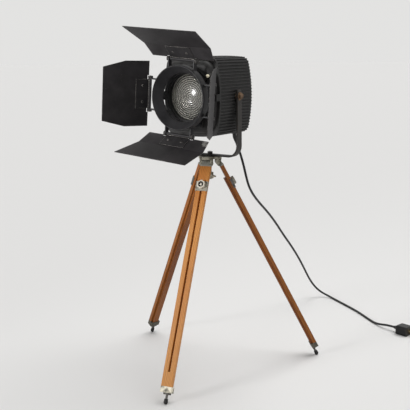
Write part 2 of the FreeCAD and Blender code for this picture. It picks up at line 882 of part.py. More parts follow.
def make_yoke():
    """A flat strap bent to a U that carries the lamp house, with a nut welded on its bar."""
    strap = body("yoke_strap")
    outline = sketch_on(strap, "XZ_Plane", "yoke_outline")
    arm_top = tilt_height + dim.arm_above_pivot
    draw_polygon(outline, [(-yoke_half, bar_under), (yoke_half, bar_under), (yoke_half, arm_top),
                           (arm_inner, arm_top), (arm_inner, bar_over), (-arm_inner, bar_over),
                           (-arm_inner, arm_top), (-yoke_half, arm_top)])
    blank = pad(strap, outline, dim.strap_width, both_ways=True)
    doc.recompute()

    def outer_bend(point):
        return near(abs(point.x), yoke_half) and near(point.z, bar_under)

    def inner_bend(point):
        return near(abs(point.x), arm_inner) and near(point.z, bar_over)

    last = blank
    bends = (("outer", outer_bend, dim.yoke_bend), ("inner", inner_bend, dim.yoke_bend - dim.strap_thick))
    for name, test, radius in bends:
        bend = strap.newObject("PartDesign::Fillet", f"yoke_{name}_bend")
        bend.Base = (last, edges_along(last.Shape, Y_AXIS, [test]))
        bind(bend, Radius=radius)
        doc.recompute()
        last = bend

    def arm_corner(point):
        return near(point.z, arm_top) and near(abs(point.y), strap_half)

    ends = strap.newObject("PartDesign::Fillet", "yoke_arm_ends")
    ends.Base = (last, edges_along(last.Shape, X_AXIS, [arm_corner]))
    bind(ends, Radius=strap_half - 0.1)
    doc.recompute()
    nut = hexagon("yoke_nut", "z", (0, 0), bar_over, nut_top, dim.weld_nut_flats)
    solid = fuse("yoke_solid", strap, nut)
    bores = [
        rod("yoke_pivot_bore", "x", (0, tilt_height), -yoke_half - 1, yoke_half + 1,
            dim.trunnion_radius + dim.running_gap),
        rod("yoke_screw_bore", "z", (0, 0), bar_under - 1, nut_top + 1, dim.screw_radius + dim.running_gap),
    ]
    node("yoke", cut("yoke", solid, *bores))


# ---------------------------------------------------------------- lamp house

shell_front = -dim.house_front
shell_rear = dim.house_rear
boss_face = dim.house_half_width + dim.rib_height + dim.slide_gap
floor_inside = -dim.house_half_height + dim.house_wall
rod_z = dim.rod_lift - dim.house_half_height
cover_rear = shell_rear + dim.cover_thick
door_half_width = dim.house_half_width - dim.door_side_in
door_half_height = dim.house_half_height - dim.door_top_in


def corner_spots():
    x = dim.house_half_width - dim.cover_screw_in
    z = dim.house_half_height - dim.cover_screw_down
    return [(x, z), (-x, z), (x, -z), (-x, -z)]


def make_housing_shell():
    """The cast, ribbed lamp house, open to the front and the rear."""
    front = float(shell_front)
    rear = float(shell_rear)
    sizes = (dim.house_half_width, dim.house_half_height)
    flange_back = front + float(dim.flange_depth)
    outside = ribbed_solid(*sizes, flange_back, rear)
    outside = outside.fuse(barrel_solid(*sizes, float(dim.rib_height), front, flange_back))
    inset = -float(dim.house_wall)
    cavity = barrel_solid(*sizes, inset, front - 1, rear + 1)
    shell = outside.cut(cavity)
    boss_start = float(dim.house_half_width) - 2 * float(dim.house_wall)
    gland_floor = -float(dim.house_half_height) - float(dim.rib_height)
    outlet = Vector(float(dim.outlet_x), float(dim.outlet_y), gland_floor)
    added = [Part.makeCylinder(float(dim.gland_stem) + 3.5, float(dim.gland_boss), outlet, Z_AXIS)]
    holes = [Part.makeCylinder(float(dim.gland_stem) + float(dim.seat_gap), 60, outlet - Z_AXIS * 20, Z_AXIS)]
    for side in (-1, 1):
        start = Vector(side * boss_start, 0, 0)
        end = Vector(side * float(boss_face), 0, 0)
        added.append(cylinder_between(start, end, dim.trunnion_boss))
        holes.append(cylinder_between(start * 0.9, end * 1.1, dim.trunnion_radius + dim.seat_gap))
    post = float(dim.cover_screw_radius) + 5
    post_start = rear - float(dim.cover_post)
    web = float(dim.cover_web)
    screw_end = float(cover_rear) - float(dim.cover_screw_length) - 3
    for x, z in corner_spots():
        foot = Vector(float(x), post_start, float(z))
        added.append(Part.makeCylinder(post, rear - post_start, foot, Y_AXIS))
        web_low = float(z) if float(z) > 0 else float(z) - web
        outward = Part.makeBox(post * 2, rear - post_start, web, Vector(float(x) - post, post_start, web_low))
        added.append(outward.common(barrel_solid(*sizes, inset + 1, post_start, rear)))
        holes.append(Part.makeCylinder(float(dim.cover_screw_radius) + float(dim.seat_gap),
                                       rear + 1 - screw_end, Vector(float(x), screw_end, float(z)), Y_AXIS))
    lip_back = front + float(dim.door_seat)
    front_wall = barrel_solid(*sizes, inset + 1, front, lip_back)
    doorway = barrel_solid(door_half_width, door_half_height, -float(dim.door_wall) - 1,
                           front - 1, lip_back + 1, dim.door_corner)
    added.append(front_wall.cut(doorway))
    beam_depth = float(dim.crossbar_depth)
    spread = float(dim.rod_spacing) + float(dim.bush_radius) + 2
    low = float(floor_inside) - 1
    beam = Part.makeBox(2 * spread, beam_depth, float(rod_z) + float(dim.bush_radius) - low,
                        Vector(-spread, lip_back, low))
    added.append(beam)
    for x in (-float(dim.rod_spacing), 0.0, float(dim.rod_spacing)):
        gap = dim.running_gap if x == 0.0 else dim.seat_gap
        holes.append(Part.makeCylinder(float(dim.rod_radius) + float(gap), beam_depth + 2,
                                       Vector(x, lip_back - 1, float(rod_z)), Y_AXIS))
    shell = shell.fuse(added)
    shell = shell.cut(Part.makeCompound(holes))
    lamp_node("housing_shell", feature("housing_shell", shell.removeSplitter()))


def make_rear_cover():
    """The cast cover that closes the house, with air slots and sockets for the guide rods."""
    rear = float(shell_rear)
    sizes = (dim.house_half_width, dim.house_half_height)
    plate = rounded_rim(barrel_solid(*sizes, 0.0, rear, float(cover_rear)), cover_rear, dim.cover_thick * 0.6)
    inset = -float(dim.house_wall) - float(dim.slide_gap)
    depth = float(dim.spigot_depth)
    spigot = barrel_solid(*sizes, inset, rear - depth, rear)
    spigot = spigot.cut(barrel_solid(*sizes, inset - depth, rear - depth - 1, rear))
    post = float(dim.cover_screw_radius) + 6
    web = float(dim.cover_web) + 6
    relief = [Part.makeCylinder(post, depth + 1, Vector(float(x), rear - depth - 1, float(z)), Y_AXIS)
              for x, z in corner_spots()]
    for x, z in corner_spots():
        slab_low = float(z) if float(z) > 0 else float(z) - web
        relief.append(Part.makeBox(post * 2, depth + 1, web,
                                   Vector(float(x) - post, rear - depth - 1, slab_low)))
    spigot = spigot.cut(Part.makeCompound(relief))
    bosses = []
    holes = []
    for x in (-float(dim.rod_spacing), float(dim.rod_spacing)):
        bosses.append(Part.makeCylinder(float(dim.bush_radius), 9, Vector(x, rear - 8, float(rod_z)), Y_AXIS))
        holes.append(Part.makeCylinder(float(dim.rod_radius) + float(dim.seat_gap), 8,
                                       Vector(x, rear - 8, float(rod_z)), Y_AXIS))
    holes.append(Part.makeCylinder(float(dim.rod_radius) + float(dim.running_gap), 40,
                                   Vector(0, rear - 20, float(rod_z)), Y_AXIS))
    for x, z in corner_spots():
        holes.append(Part.makeCylinder(float(dim.cover_screw_radius) + float(dim.seat_gap), 40,
                                       Vector(float(x), rear - 20, float(z)), Y_AXIS))
    width = float(dim.vent_width)
    for row in range(-2, 3):
        z = row * float(dim.vent_pitch)
        holes.append(Part.makeBox(width, 40, float(dim.vent_height),
                                  Vector(-width / 2, rear - 20, z - float(dim.vent_height) / 2)))
    cover = plate.fuse([spigot] + bosses).cut(Part.makeCompound(holes))
    lamp_node("rear_cover", feature("rear_cover", cover.removeSplitter()))


def make_cover_screws():
    screws = []
    for count, (x, z) in enumerate(corner_spots(), start=1):
        name = f"cover_screw_{count}"
        shank = rod(f"{name}_shank", "y", (x, z), cover_rear - dim.cover_screw_length, cover_rear,
                    dim.cover_screw_radius)
        head = rod(f"{name}_head", "y", (x, z), cover_rear, cover_rear + 3, dim.cover_screw_radius * 2)
        slot = block(f"{name}_slot", (x - 6, x + 6), (cover_rear + 2, cover_rear + 4), (z - 0.5, z + 0.5))
        screws.append(cut(name, fuse(f"{name}_solid", shank, head), slot))
    lamp_node("rear_cover_screws", group("rear_cover_screws", *screws))


washer_out = yoke_half + dim.slide_gap
head_out = washer_out + dim.washer_thick


def make_trunnion_bolts():
    """The two pivot bolts, each with a washer inside its arm and one outside."""
    solids = []
    inside_end = dim.house_half_width - 4 * dim.house_wall
    hole = dim.trunnion_radius + dim.seat_gap
    for side, name in ((-1, "left"), (1, "right")):
        spans = []
        for start, end in ((boss_face, arm_inner - dim.slide_gap), (washer_out, head_out)):
            spans.append((start, end) if side > 0 else (-end, -start))
        for place, (start, end) in zip(("inner", "outer"), spans):
            disc = rod(f"{name}_{place}_washer", "x", (0, 0), start, end, dim.washer_radius)
            bore = rod(f"{name}_{place}_bore", "x", (0, 0), start - 1, end + 1, hole)
            solids.append(cut(f"{name}_{place}_ring", disc, bore))
        if side > 0:
            shank = rod("right_shank", "x", (0, 0), inside_end, head_out + 1, dim.trunnion_radius)
            head = hexagon("right_head", "x", (0, 0), head_out, head_out + dim.trunnion_head,
                           dim.trunnion_flats)
            inner = hexagon("right_nut", "x", (0, 0), inside_end - 4, inside_end + 1, dim.trunnion_flats)
            solids.append(fuse("right_bolt", shank, head, inner))
        else:
            far = head_out + dim.slide_gap + dim.tilt_knob_thick
            shank = rod("left_shank", "x", (0, 0), -far, -inside_end, dim.trunnion_radius)
            inner = hexagon("left_nut", "x", (0, 0), -inside_end - 1, -inside_end + 4, dim.trunnion_flats)
            solids.append(fuse("left_bolt", shank, inner))
    lamp_node("trunnion_bolts", group("trunnion_bolts", *solids))


def make_tilt_knob():
    """A lobed knob on the left pivot bolt; it clamps the house to the arm."""
    near_face = head_out + dim.slide_gap
    far_face = near_face + dim.tilt_knob_thick
    hub = rod("tilt_knob_hub", "x", (0, 0), -far_face, -near_face, dim.tilt_knob_radius * 0.62)
    solids = [hub]
    lobes = 5
    for i in range(lobes):
        angle = math.radians(360.0 / lobes * i)
        reach = dim.tilt_knob_radius * 0.68
        solids.append(rod(f"tilt_knob_lobe_{i + 1}", "x", (reach * math.cos(angle), reach * math.sin(angle)),
                          -far_face, -near_face - 6, dim.tilt_knob_radius * 0.32))
    bore = rod("tilt_knob_bore", "x", (0, 0), -far_face - 1, -near_face + 1,
               dim.trunnion_radius + dim.running_gap)
    lamp_node("tilt_knob", cut("tilt_knob", fuse("tilt_knob_solid", *solids), bore))


# ---------------------------------------------------------------- cord outlet

outlet_face = -dim.house_half_height - dim.rib_height
gland_low = outlet_face - dim.gland_flange
relief_angle = math.radians(float(dim.relief_turn))
relief_way = Vector(0, math.sin(relief_angle), -math.cos(relief_angle))


def relief_bend_end():
    """Where the strain relief stops bending and runs straight."""
    radius = float(dim.relief_bend)
    start = Vector(float(dim.outlet_x), float(dim.outlet_y), float(gland_low))
    return start + Vector(0, radius * (1 - math.cos(relief_angle)), -radius * math.sin(relief_angle))


def make_cord_gland():
    centre = (dim.outlet_x, dim.outlet_y)
    stem = rod("gland_stem", "z", centre, outlet_face - 1, outlet_face + 14, dim.gland_stem)
    flange = hexagon("gland_flange", "z", centre, gland_low, outlet_face, dim.gland_flats)
    inside = outlet_face + dim.gland_boss
    locknut = hexagon("gland_locknut", "z", centre, inside, inside + 4, dim.gland_flats - 2)
    lamp_node("cord_gland", fuse("cord_gland", stem, flange, locknut))


def make_strain_relief():
    """A rubber sleeve that bends with the cord and thins towards its end."""
    start = Vector(float(dim.outlet_x), float(dim.outlet_y), float(gland_low))
    pivot = start + Vector(0, float(dim.relief_bend), 0)
    disc = Part.Face(Part.Wire(Part.Circle(start, Vector(0, 0, -1), float(dim.relief_radius)).toShape()))
    elbow = disc.revolve(pivot, X_AXIS, float(dim.relief_turn))
    joint = relief_bend_end()
    cone = Part.makeCone(float(dim.relief_radius), float(dim.relief_tip), float(dim.relief_straight),
                         joint, relief_way)
    lamp_node("strain_relief", feature("strain_relief", elbow.fuse(cone)))


# ---------------------------------------------------------------- focusing gear and lamp

rod_start = shell_front + dim.door_seat
carriage_low = rod_z + dim.bush_radius - dim.carriage_sink
carriage_top = carriage_low + dim.carriage_thick


def make_guide_rods():
    rods = []
    for side in (-1, 1):
        rods.append(rod(f"guide_rod_{'left' if side < 0 else 'right'}", "y", (dim.rod_spacing * side, rod_z),
                        rod_start, shell_rear, dim.rod_radius))
    lamp_node("guide_rods", group("guide_rods", *rods))


def make_terminal_block():
    low = floor_inside + dim.terminal_seat
    x = -dim.rod_spacing - 12
    end = shell_rear - dim.terminal_inset
    start = end - dim.terminal_width
    base = block("terminal_base", (x, x + dim.terminal_length), (start, end),
                 (low, low + dim.terminal_height))
    solids = [base]
    for i in range(3):
        centre = (x + dim.terminal_length * (i + 0.5) / 3, (start + end) / 2)
        top = low + dim.terminal_height
        solids.append(rod(f"terminal_screw_{i + 1}", "z", centre, top - 1, top + 2, 3))
    lamp_node("terminal_block", fuse("terminal_block", *solids))


def make_lamp_carriage():
    """A plate on two bushes and a nut, which the focus screw drives to and fro."""
    half = dim.carriage_width / 2
    reach = dim.bush_length / 2
    middle = dim.bulb_y
    plate = block("carriage_plate", (-half, half), (-reach - middle, reach - middle),
                  (carriage_low, carriage_top))
    solids = [plate]
    holes = []
    for name, x in (("left", -dim.rod_spacing), ("nut", 0), ("right", dim.rod_spacing)):
        solids.append(rod(f"carriage_{name}_bush", "y", (x, rod_z), -reach - middle, reach - middle,
                          dim.bush_radius))
        radius = dim.focus_screw_radius if name == "nut" else dim.rod_radius
        holes.append(rod(f"carriage_{name}_bore", "y", (x, rod_z), -reach - middle - 1, reach - middle + 1,
                         radius + dim.running_gap))
    lamp_node("lamp_carriage", cut("lamp_carriage", fuse("carriage_solid", *solids), *holes))


def make_lamp_socket():
    top = -dim.socket_drop
    centre = (0, -dim.bulb_y)
    cup = rod("socket_cup", "z", centre, carriage_top, top, dim.socket_radius)
    well = rod("socket_well", "z", centre, top - dim.socket_well, top + 1, dim.bulb_neck + dim.seat_gap)
    lamp_node("lamp_socket", cut("lamp_socket", cup, well))


def make_lamp_bulb():
    globe = ball("bulb_globe", (0, -dim.bulb_y, 0), dim.bulb_radius)
    neck = rod("bulb_neck", "z", (0, -dim.bulb_y), -dim.socket_drop - dim.socket_well,
               -dim.bulb_radius / 2, dim.bulb_neck)
    lamp_node("lamp_bulb", fuse("lamp_bulb", globe, neck))


def make_reflector():
    """A spherical bowl behind the bulb on a stalk from the carriage."""
    outer = float(dim.reflector_radius)
    inner = outer - float(dim.reflector_wall)
    lip = math.asin(float(dim.reflector_rim) / outer)
    points = [(0.0, outer), (0.0, inner), (inner * math.sin(lip), inner * math.cos(lip)),
              (outer * math.sin(lip), outer * math.cos(lip))]
    half = lip / 2
    bowl = revolved(points, [(1, (inner * math.sin(half), inner * math.cos(half))),
                             (3, (outer * math.sin(half), outer * math.cos(half)))])
    bowl.translate(Vector(0, -float(dim.bulb_y), 0))
    stalk_y = outer * math.cos(lip) - float(dim.bulb_y) - 1
    low = float(carriage_top)
    stalk = Part.makeBox(16, 2, -outer * math.sin(lip) + 3 - low, Vector(-8, stalk_y, low))
    reach = float(dim.bush_length) / 2 - float(dim.bulb_y)
    foot = Part.makeBox(16, stalk_y + 2 - reach + 8, 2, Vector(-8, reach - 8, low))
    lamp_node("reflector", feature("reflector", bowl.fuse([stalk, foot]).removeSplitter()))


def make_focus_screw():
    end = cover_rear + dim.focus_knob_thick
    shank = rod("focus_screw_shank", "y", (0, rod_z), rod_start - 2, end, dim.focus_screw_radius)
    collar = rod("focus_screw_collar", "y", (0, rod_z), shell_rear - 4, shell_rear - dim.slide_gap,
                 dim.focus_screw_radius + 3)
    lamp_node("focus_screw", fuse("focus_screw", shank, collar))


def make_focus_knob():
    start = cover_rear + dim.slide_gap
    end = start + dim.focus_knob_thick
    grip = rod("focus_knob_grip", "y", (0, rod_z), start, end, dim.focus_knob_radius)
    flutes = [rod("focus_knob_bore", "y", (0, rod_z), start - 1, end + 1,
                  dim.focus_screw_radius + dim.seat_gap)]
    count = 12
    for i in range(count):
        angle = math.radians(360.0 / count * i)
        centre = (dim.focus_knob_radius * math.cos(angle), rod_z + dim.focus_knob_radius * math.sin(angle))
        flutes.append(rod(f"focus_knob_flute_{i + 1}", "y", centre, start + 4, end + 1, 1.6))
    lamp_node("focus_knob", cut("focus_knob", grip, *flutes))


# ---------------------------------------------------------------- lens door

door_back = shell_front - dim.door_gap
door_face = door_back - dim.door_thick
seat_outer = dim.lens_radius + dim.seat_gap + dim.lens_seat_wall
lens_face = door_face + dim.lens_inset
lens_back = lens_face + dim.lens_thick
door_pin_x = -door_half_width - dim.door_pin_out


def make_lens_door():
    """The cast front with a deeply rounded edge, hollow behind, with a seat for the lens."""
    back = float(door_back)
    face = float(door_face)
    sizes = (door_half_width, door_half_height)
    wall = float(dim.door_wall)
    outside = rounded_rim(barrel_solid(*sizes, 0.0, face, back, dim.door_corner), face, dim.door_edge_round)
    hollow = barrel_solid(*sizes, -wall, face + wall, back + 1, dim.door_corner)
    door = outside.cut(rounded_rim(hollow, face + wall, dim.door_edge_round - wall))
    door = door.fuse(Part.makeCylinder(float(seat_outer), back - face - 1, Vector(0, face + 1, 0), Y_AXIS))
    window = Part.makeCylinder(float(dim.lens_window), back - face + 2, Vector(0, face - 1, 0), Y_AXIS)
    seat_start = Vector(0, float(lens_face) - float(dim.seat_gap), 0)
    seat = Part.makeCylinder(float(dim.lens_radius) + float(dim.seat_gap), back - face, seat_start, Y_AXIS)
    door = door.cut(window).cut(seat)
    pin_x = float(door_pin_x)
    pin_y = -float(dim.door_pin_y)
    radius = float(dim.knuckle_radius)
    length = float(dim.knuckle_length)
    knuckles = []
    for side in (-1, 1):
        low = side * float(dim.knuckle_z) - length / 2
        arm = float(dim.door_pin_out) + wall + 1
        knuckles.append(Part.makeCylinder(radius, length, Vector(pin_x, pin_y, low)))
        knuckles.append(Part.makeBox(arm, radius, length, Vector(pin_x, pin_y - radius, low)))
    span = float(door_half_height)
    bore = Part.makeCylinder(float(dim.door_pin_radius) + float(dim.running_gap), 2 * span,
                             Vector(pin_x, pin_y, -span))
    door = door.fuse(knuckles).cut(bore)
    latch = Vector(float(dim.latch_x), face, float(dim.latch_z))
    latch_pad = Part.makeCylinder(float(dim.latch_boss) + 1, float(dim.latch_pad_depth), latch, Y_AXIS)
    latch_hole = Part.makeCylinder(float(dim.latch_pin_radius + dim.running_gap), 6, latch - Y_AXIS, Y_AXIS)
    door = door.fuse(latch_pad).cut(latch_hole)
    lamp_node("lens_door", feature("lens_door", door.removeSplitter()))


def make_door_hinge():
    """Two straps on the house's flange whose knuckles hold the door's hinge pin."""
    solids = []
    radius = dim.knuckle_radius
    length = dim.knuckle_length
    pin_x = door_pin_x
    pin_y = -dim.door_pin_y
    for name, side in (("low", -1), ("high", 1)):
        start = dim.knuckle_z * side + (length / 2 + dim.slide_gap) * (1 if side < 0 else -1)
        end = start + length * (1 if side < 0 else -1)
        low, high = (start, end) if side < 0 else (end, start)
        barrel = rod(f"door_hinge_{name}_barrel", "z", (pin_x, pin_y), low, high, radius)
        strap = block(f"door_hinge_{name}_strap", (pin_x - radius, pin_x - radius + 3), (pin_y, shell_front),
                      (low, high))
        foot = block(f"door_hinge_{name}_foot", (pin_x - radius, pin_x + 3),
                     (shell_front - 3, shell_front), (low, high))
        solids += [barrel, strap, foot]
        reach = length + 2
        pin_low = dim.knuckle_z * side - reach if side < 0 else low
        pin_high = high if side < 0 else dim.knuckle_z * side + reach
        solids.append(rod(f"door_hinge_{name}_pin", "z", (pin_x, pin_y), pin_low, pin_high,
                          dim.door_pin_radius))
    halves = []
    for i, name in enumerate(("low", "high")):
        halves.append(fuse(f"door_hinge_{name}", *solids[4 * i:4 * i + 4]))
    lamp_node("door_hinge", group("door_hinge", *halves))


def make_door_catch():
    """A spring catch on the right of the flange that the closed door snaps behind."""
    inner = door_half_width + 2
    outer = door_half_width + dim.catch_out
    half = dim.catch_half
    arm_front = shell_front - dim.catch_reach
    foot = block("catch_foot", (inner, outer), (shell_front - 2, shell_front), (-half, half))
    arm = block("catch_arm", (outer - 2, outer), (arm_front, shell_front), (-half + 4, half - 4))
    nose = rod("catch_nose", "z", (outer - 2, arm_front + 1), -half + 4, half - 4, 3)
    lamp_node("door_catch", fuse("door_catch", foot, arm, nose))


def make_fresnel_lens():
    """A stepped lens: concentric prisms on the front and a plane back."""
    radius = float(dim.lens_radius)
    face = float(lens_face)
    rim = radius - float(dim.lens_window) + 1
    step = float(dim.lens_step)
    deep = float(dim.lens_step_depth)
    count = int((radius - rim) / step)
    points = [(0.0, float(lens_back)), (radius, float(lens_back)), (radius, face), (radius - rim, face)]
    for i in range(count, 0, -1):
        outer = step * i
        points.append((outer, face + deep))
        points.append((outer - step if i > 1 else 0.0, face + deep * (0.1 if i > 1 else 0.0)))
    lens = revolved(points)
    lamp_node("fresnel_lens", feature("fresnel_lens", lens))


def make_lens_clip():
    """A sprung ring behind the lens that keeps it in its seat."""
    start = lens_back + dim.seat_gap
    disc = rod("clip_disc", "y", (0, 0), start, start + dim.clip_section, dim.lens_radius)
    hole = rod("clip_hole", "y", (0, 0), start - 1, start + 3, dim.lens_radius - 2.5 * dim.clip_section)
    split = block("clip_split", (-3, 3), (start - 1, start + 3), (-dim.lens_radius - 1, -dim.lens_radius / 2))
    lamp_node("lens_clip", cut("lens_clip", disc, hole, split))


def make_frame_runners():
    """Channels that hold a colour frame and the ring's flange: two long ones and a short one."""
    inside = dim.runner_inside
    outside = inside + dim.runner_wall
    front = door_face - dim.runner_depth
    sheet_back = door_face - dim.runner_sheet
    sheet_front = front + dim.runner_sheet
    runners = []
    for name, angle, length in (("right", 0, dim.runner_length), ("low", 90, dim.runner_length),
                                ("left", 180, dim.short_runner)):
        half = length / 2
        web = block(f"runner_{name}_web", (outside - dim.runner_web, outside), (sheet_back, door_face),
                    (-half, half))
        wall = block(f"runner_{name}_wall", (inside, outside), (front, door_face), (-half, half))
        lip = block(f"runner_{name}_lip", (outside - dim.runner_lip, outside), (front, sheet_front),
                    (-half, half))
        runner = fuse(f"runner_{name}", web, wall, lip)
        runner.Placement = turn(Y_AXIS, angle)
        runners.append(runner)
    lamp_node("frame_runners", group("frame_runners", *runners))


def make_frame_latch():
    """A brass turn button whose tab keeps the ring's flange in the runners."""
    x = dim.latch_x
    z = dim.latch_z
    front = door_face - dim.slide_gap
    stem = rod("latch_stem", "y", (x, z), front - 8, door_face + 4, dim.latch_pin_radius)
    boss = rod("latch_boss", "y", (x, z), front - 5.5, front, dim.latch_boss)
    button = rod("latch_button", "y", (x, z), front - 15, front - 8, 5)
    arm = block("latch_arm", (-dim.latch_reach, 0), (front - 8, front - 5.5), (-4, 4))
    end = rod("latch_arm_end", "y", (-dim.latch_reach, 0), front - 8, front - 5.5, 4)
    tab = fuse("latch_tab", arm, end)
    tab.Placement = shift(x, 0, z) * turn(Y_AXIS, -math.degrees(math.atan2(float(z), float(x))))
    lamp_node("frame_latch", fuse("frame_latch", stem, boss, button, tab))


# ---------------------------------------------------------------- barn door ring and its doors

ring_place = shift(z=tilt_height) * turn(Y_AXIS, dim.ring_turn)
ring_back = dim.runner_sheet + dim.frame_gap - door_face
ring_front = ring_back + dim.ring_depth
hinge_back = ring_front - dim.hinge_from_front


def hinge_radius(name):
    return dim.wide_hinge_radius if name in WIDE_LEAVES else dim.side_hinge_radius


def make_barndoor_ring():
    """A coned ring on a slotted tube and flange, with two hinge ears for each door."""
    wall = float(dim.ring_wall)
    front = float(ring_front)
    outer = float(dim.ring_radius)
    bore = float(dim.ring_bore)
    lip = float(dim.ring_lip)
    throat = front - float(dim.cone_depth)
    back = float(ring_back)
    flange = float(dim.ring_flange_radius)
    crest = outer - lip
    points = [
        (bore, -back), (bore, -throat), (crest - 1.5, -(front - 2)), (crest, -front), (outer, -(front - lip)),
        (outer, -(front - float(dim.ring_skirt))), (outer - wall, -(front - float(dim.ring_skirt))),
        (outer - wall, -(front - lip - wall)), (crest - 0.5, -(front - wall - 0.5)),
        (bore + wall, -(throat - 0.5)), (bore + wall, -(back + wall)),
        (flange, -(back + wall)), (flange, -back),
    ]
    swell = lip * math.sqrt(0.5)
    ring = revolved(points, [(3, (crest + swell, -(front - lip + swell)))])
    low = back + wall + float(dim.window_margin)
    high = throat - float(dim.window_margin)
    start = float(dim.window_from)
    sweep = float(dim.window_to) - start
    windows = []
    for quarter in range(len(LEAVES)):
        for first in (start, QUARTER - start - sweep):
            corners = [Vector(bore - 3, -low, 0), Vector(bore + 6, -low, 0), Vector(bore + 6, -high, 0),
                       Vector(bore - 3, -high, 0), Vector(bore - 3, -low, 0)]
            slot = Part.Face(Part.makePolygon(corners))
            slot.rotate(Vector(), Y_AXIS, -(QUARTER * quarter + first))
            windows.append(slot.revolve(Vector(), Y_AXIS, -sweep))
    ears = []
    thick = float(dim.ear_thick)
    radius = float(dim.ear_radius)
    pin_hole = float(dim.leaf_pin_radius) + float(dim.running_gap)
    station = -float(hinge_back)
    foot = math.sqrt((outer - wall) ** 2 - float(dim.ear_spacing) ** 2) + 1
    for quarter, name in enumerate(LEAVES):
        reach = float(hinge_radius(name))
        for side in (-1, 1):
            x = side * float(dim.ear_spacing) - thick / 2
            arm = Part.makeBox(thick, 2 * radius, reach - foot, Vector(x, station - radius, foot))
            eye = Part.makeCylinder(radius, thick, Vector(x, station, reach), X_AXIS)
            hole = Part.makeCylinder(pin_hole, thick + 2, Vector(x - 1, station, reach), X_AXIS)
            ear = arm.fuse(eye).cut(hole)
            ear.rotate(Vector(), Y_AXIS, QUARTER * quarter)
            ears.append(ear)
    ring = ring.cut(Part.makeCompound(windows)).fuse(ears)
    node("barndoor_ring", feature("barndoor_ring", ring.removeSplitter()), ring_place)


def leaf_place(name):
    """A door's hinge line, with the door itself along the hinge's own -Y."""
    opened = {"top": dim.top_leaf_open, "right": dim.right_leaf_open,
              "bottom": dim.bottom_leaf_open, "left": dim.left_leaf_open}
    quarter = turn(Y_AXIS, QUARTER * LEAVES.index(name))
    return ring_place * quarter * shift(0, -hinge_back, hinge_radius(name)) * turn(X_AXIS, -opened[name])


sheet_low = dim.leaf_lift
sheet_high = dim.leaf_lift + dim.leaf_thick


def near_edge(half):
    """The door's edge at the hinge, cut back round each ear and its nut."""
    start = -dim.leaf_start
    inner = dim.ear_spacing - dim.ear_thick / 2 - 2 * dim.slide_gap
    outer = dim.leaf_pin_half + 2 * dim.slide_gap
    deep = -dim.leaf_nut_radius - 2 * dim.slide_gap
    return [(half, start), (outer, start), (outer, deep), (inner, deep), (inner, start),
            (-inner, start), (-inner, deep), (-outer, deep), (-outer, start), (-half, start)]


def leaf_sheet(name, outline, drilled=False):
    """A flat sheet with the given outline, drilled for the hinge screws if it lies under them."""
    sheet_body = body(name)
    sketch = sketch_on(sheet_body, "XY_Plane", f"{name}_outline")
    draw_polygon(sketch, outline)
    if drilled:
        for x in (-dim.leaf_screw_x, dim.leaf_screw_x):
            draw_circle(sketch, (x, -dim.leaf_screw_y), dim.leaf_screw_radius + dim.seat_gap)
    pad(sheet_body, sketch, dim.leaf_thick)
    return sheet_body


def make_wide_leaf(name):
    """A wide door above or below: a sheet creased inwards along a line parallel to its hinge."""
    crease_half = dim.wide_leaf_crease_half
    far_half = dim.wide_leaf_far_half
    crease = -dim.wide_leaf_crease
    root = leaf_sheet(f"leaf_{name}_root", near_edge(dim.wide_leaf_hinge_half)
                      + [(-crease_half, crease), (crease_half, crease)], drilled=True)
    beyond = leaf_sheet(f"leaf_{name}_beyond", [(crease_half, 0), (-crease_half, 0),
                                                (-far_half, -dim.wide_leaf_beyond),
                                                (far_half, -dim.wide_leaf_beyond)])
    fold = turn(X_AXIS, dim.crease_turn) * shift(z=-dim.leaf_thick)
    beyond.Placement = shift(0, crease, dim.leaf_thick) * fold
    node(f"leaf_{name}", fuse(f"leaf_{name}", root, beyond), leaf_place(name) * shift(z=sheet_low))


def make_side_leaf(name):
    """A narrow door on the left or right: a flat sheet whose far half tapers."""
    kink_half = dim.side_leaf_kink_half
    far_half = dim.side_leaf_far_half
    kink = -dim.side_leaf_kink
    end = -dim.side_leaf_length
    sheet_body = leaf_sheet(f"leaf_{name}", near_edge(dim.side_leaf_hinge_half)
                            + [(-kink_half, kink), (-far_half, end), (far_half, end), (kink_half, kink)],
                            drilled=True)
    node(f"leaf_{name}", sheet_body, leaf_place(name) * shift(z=sheet_low))


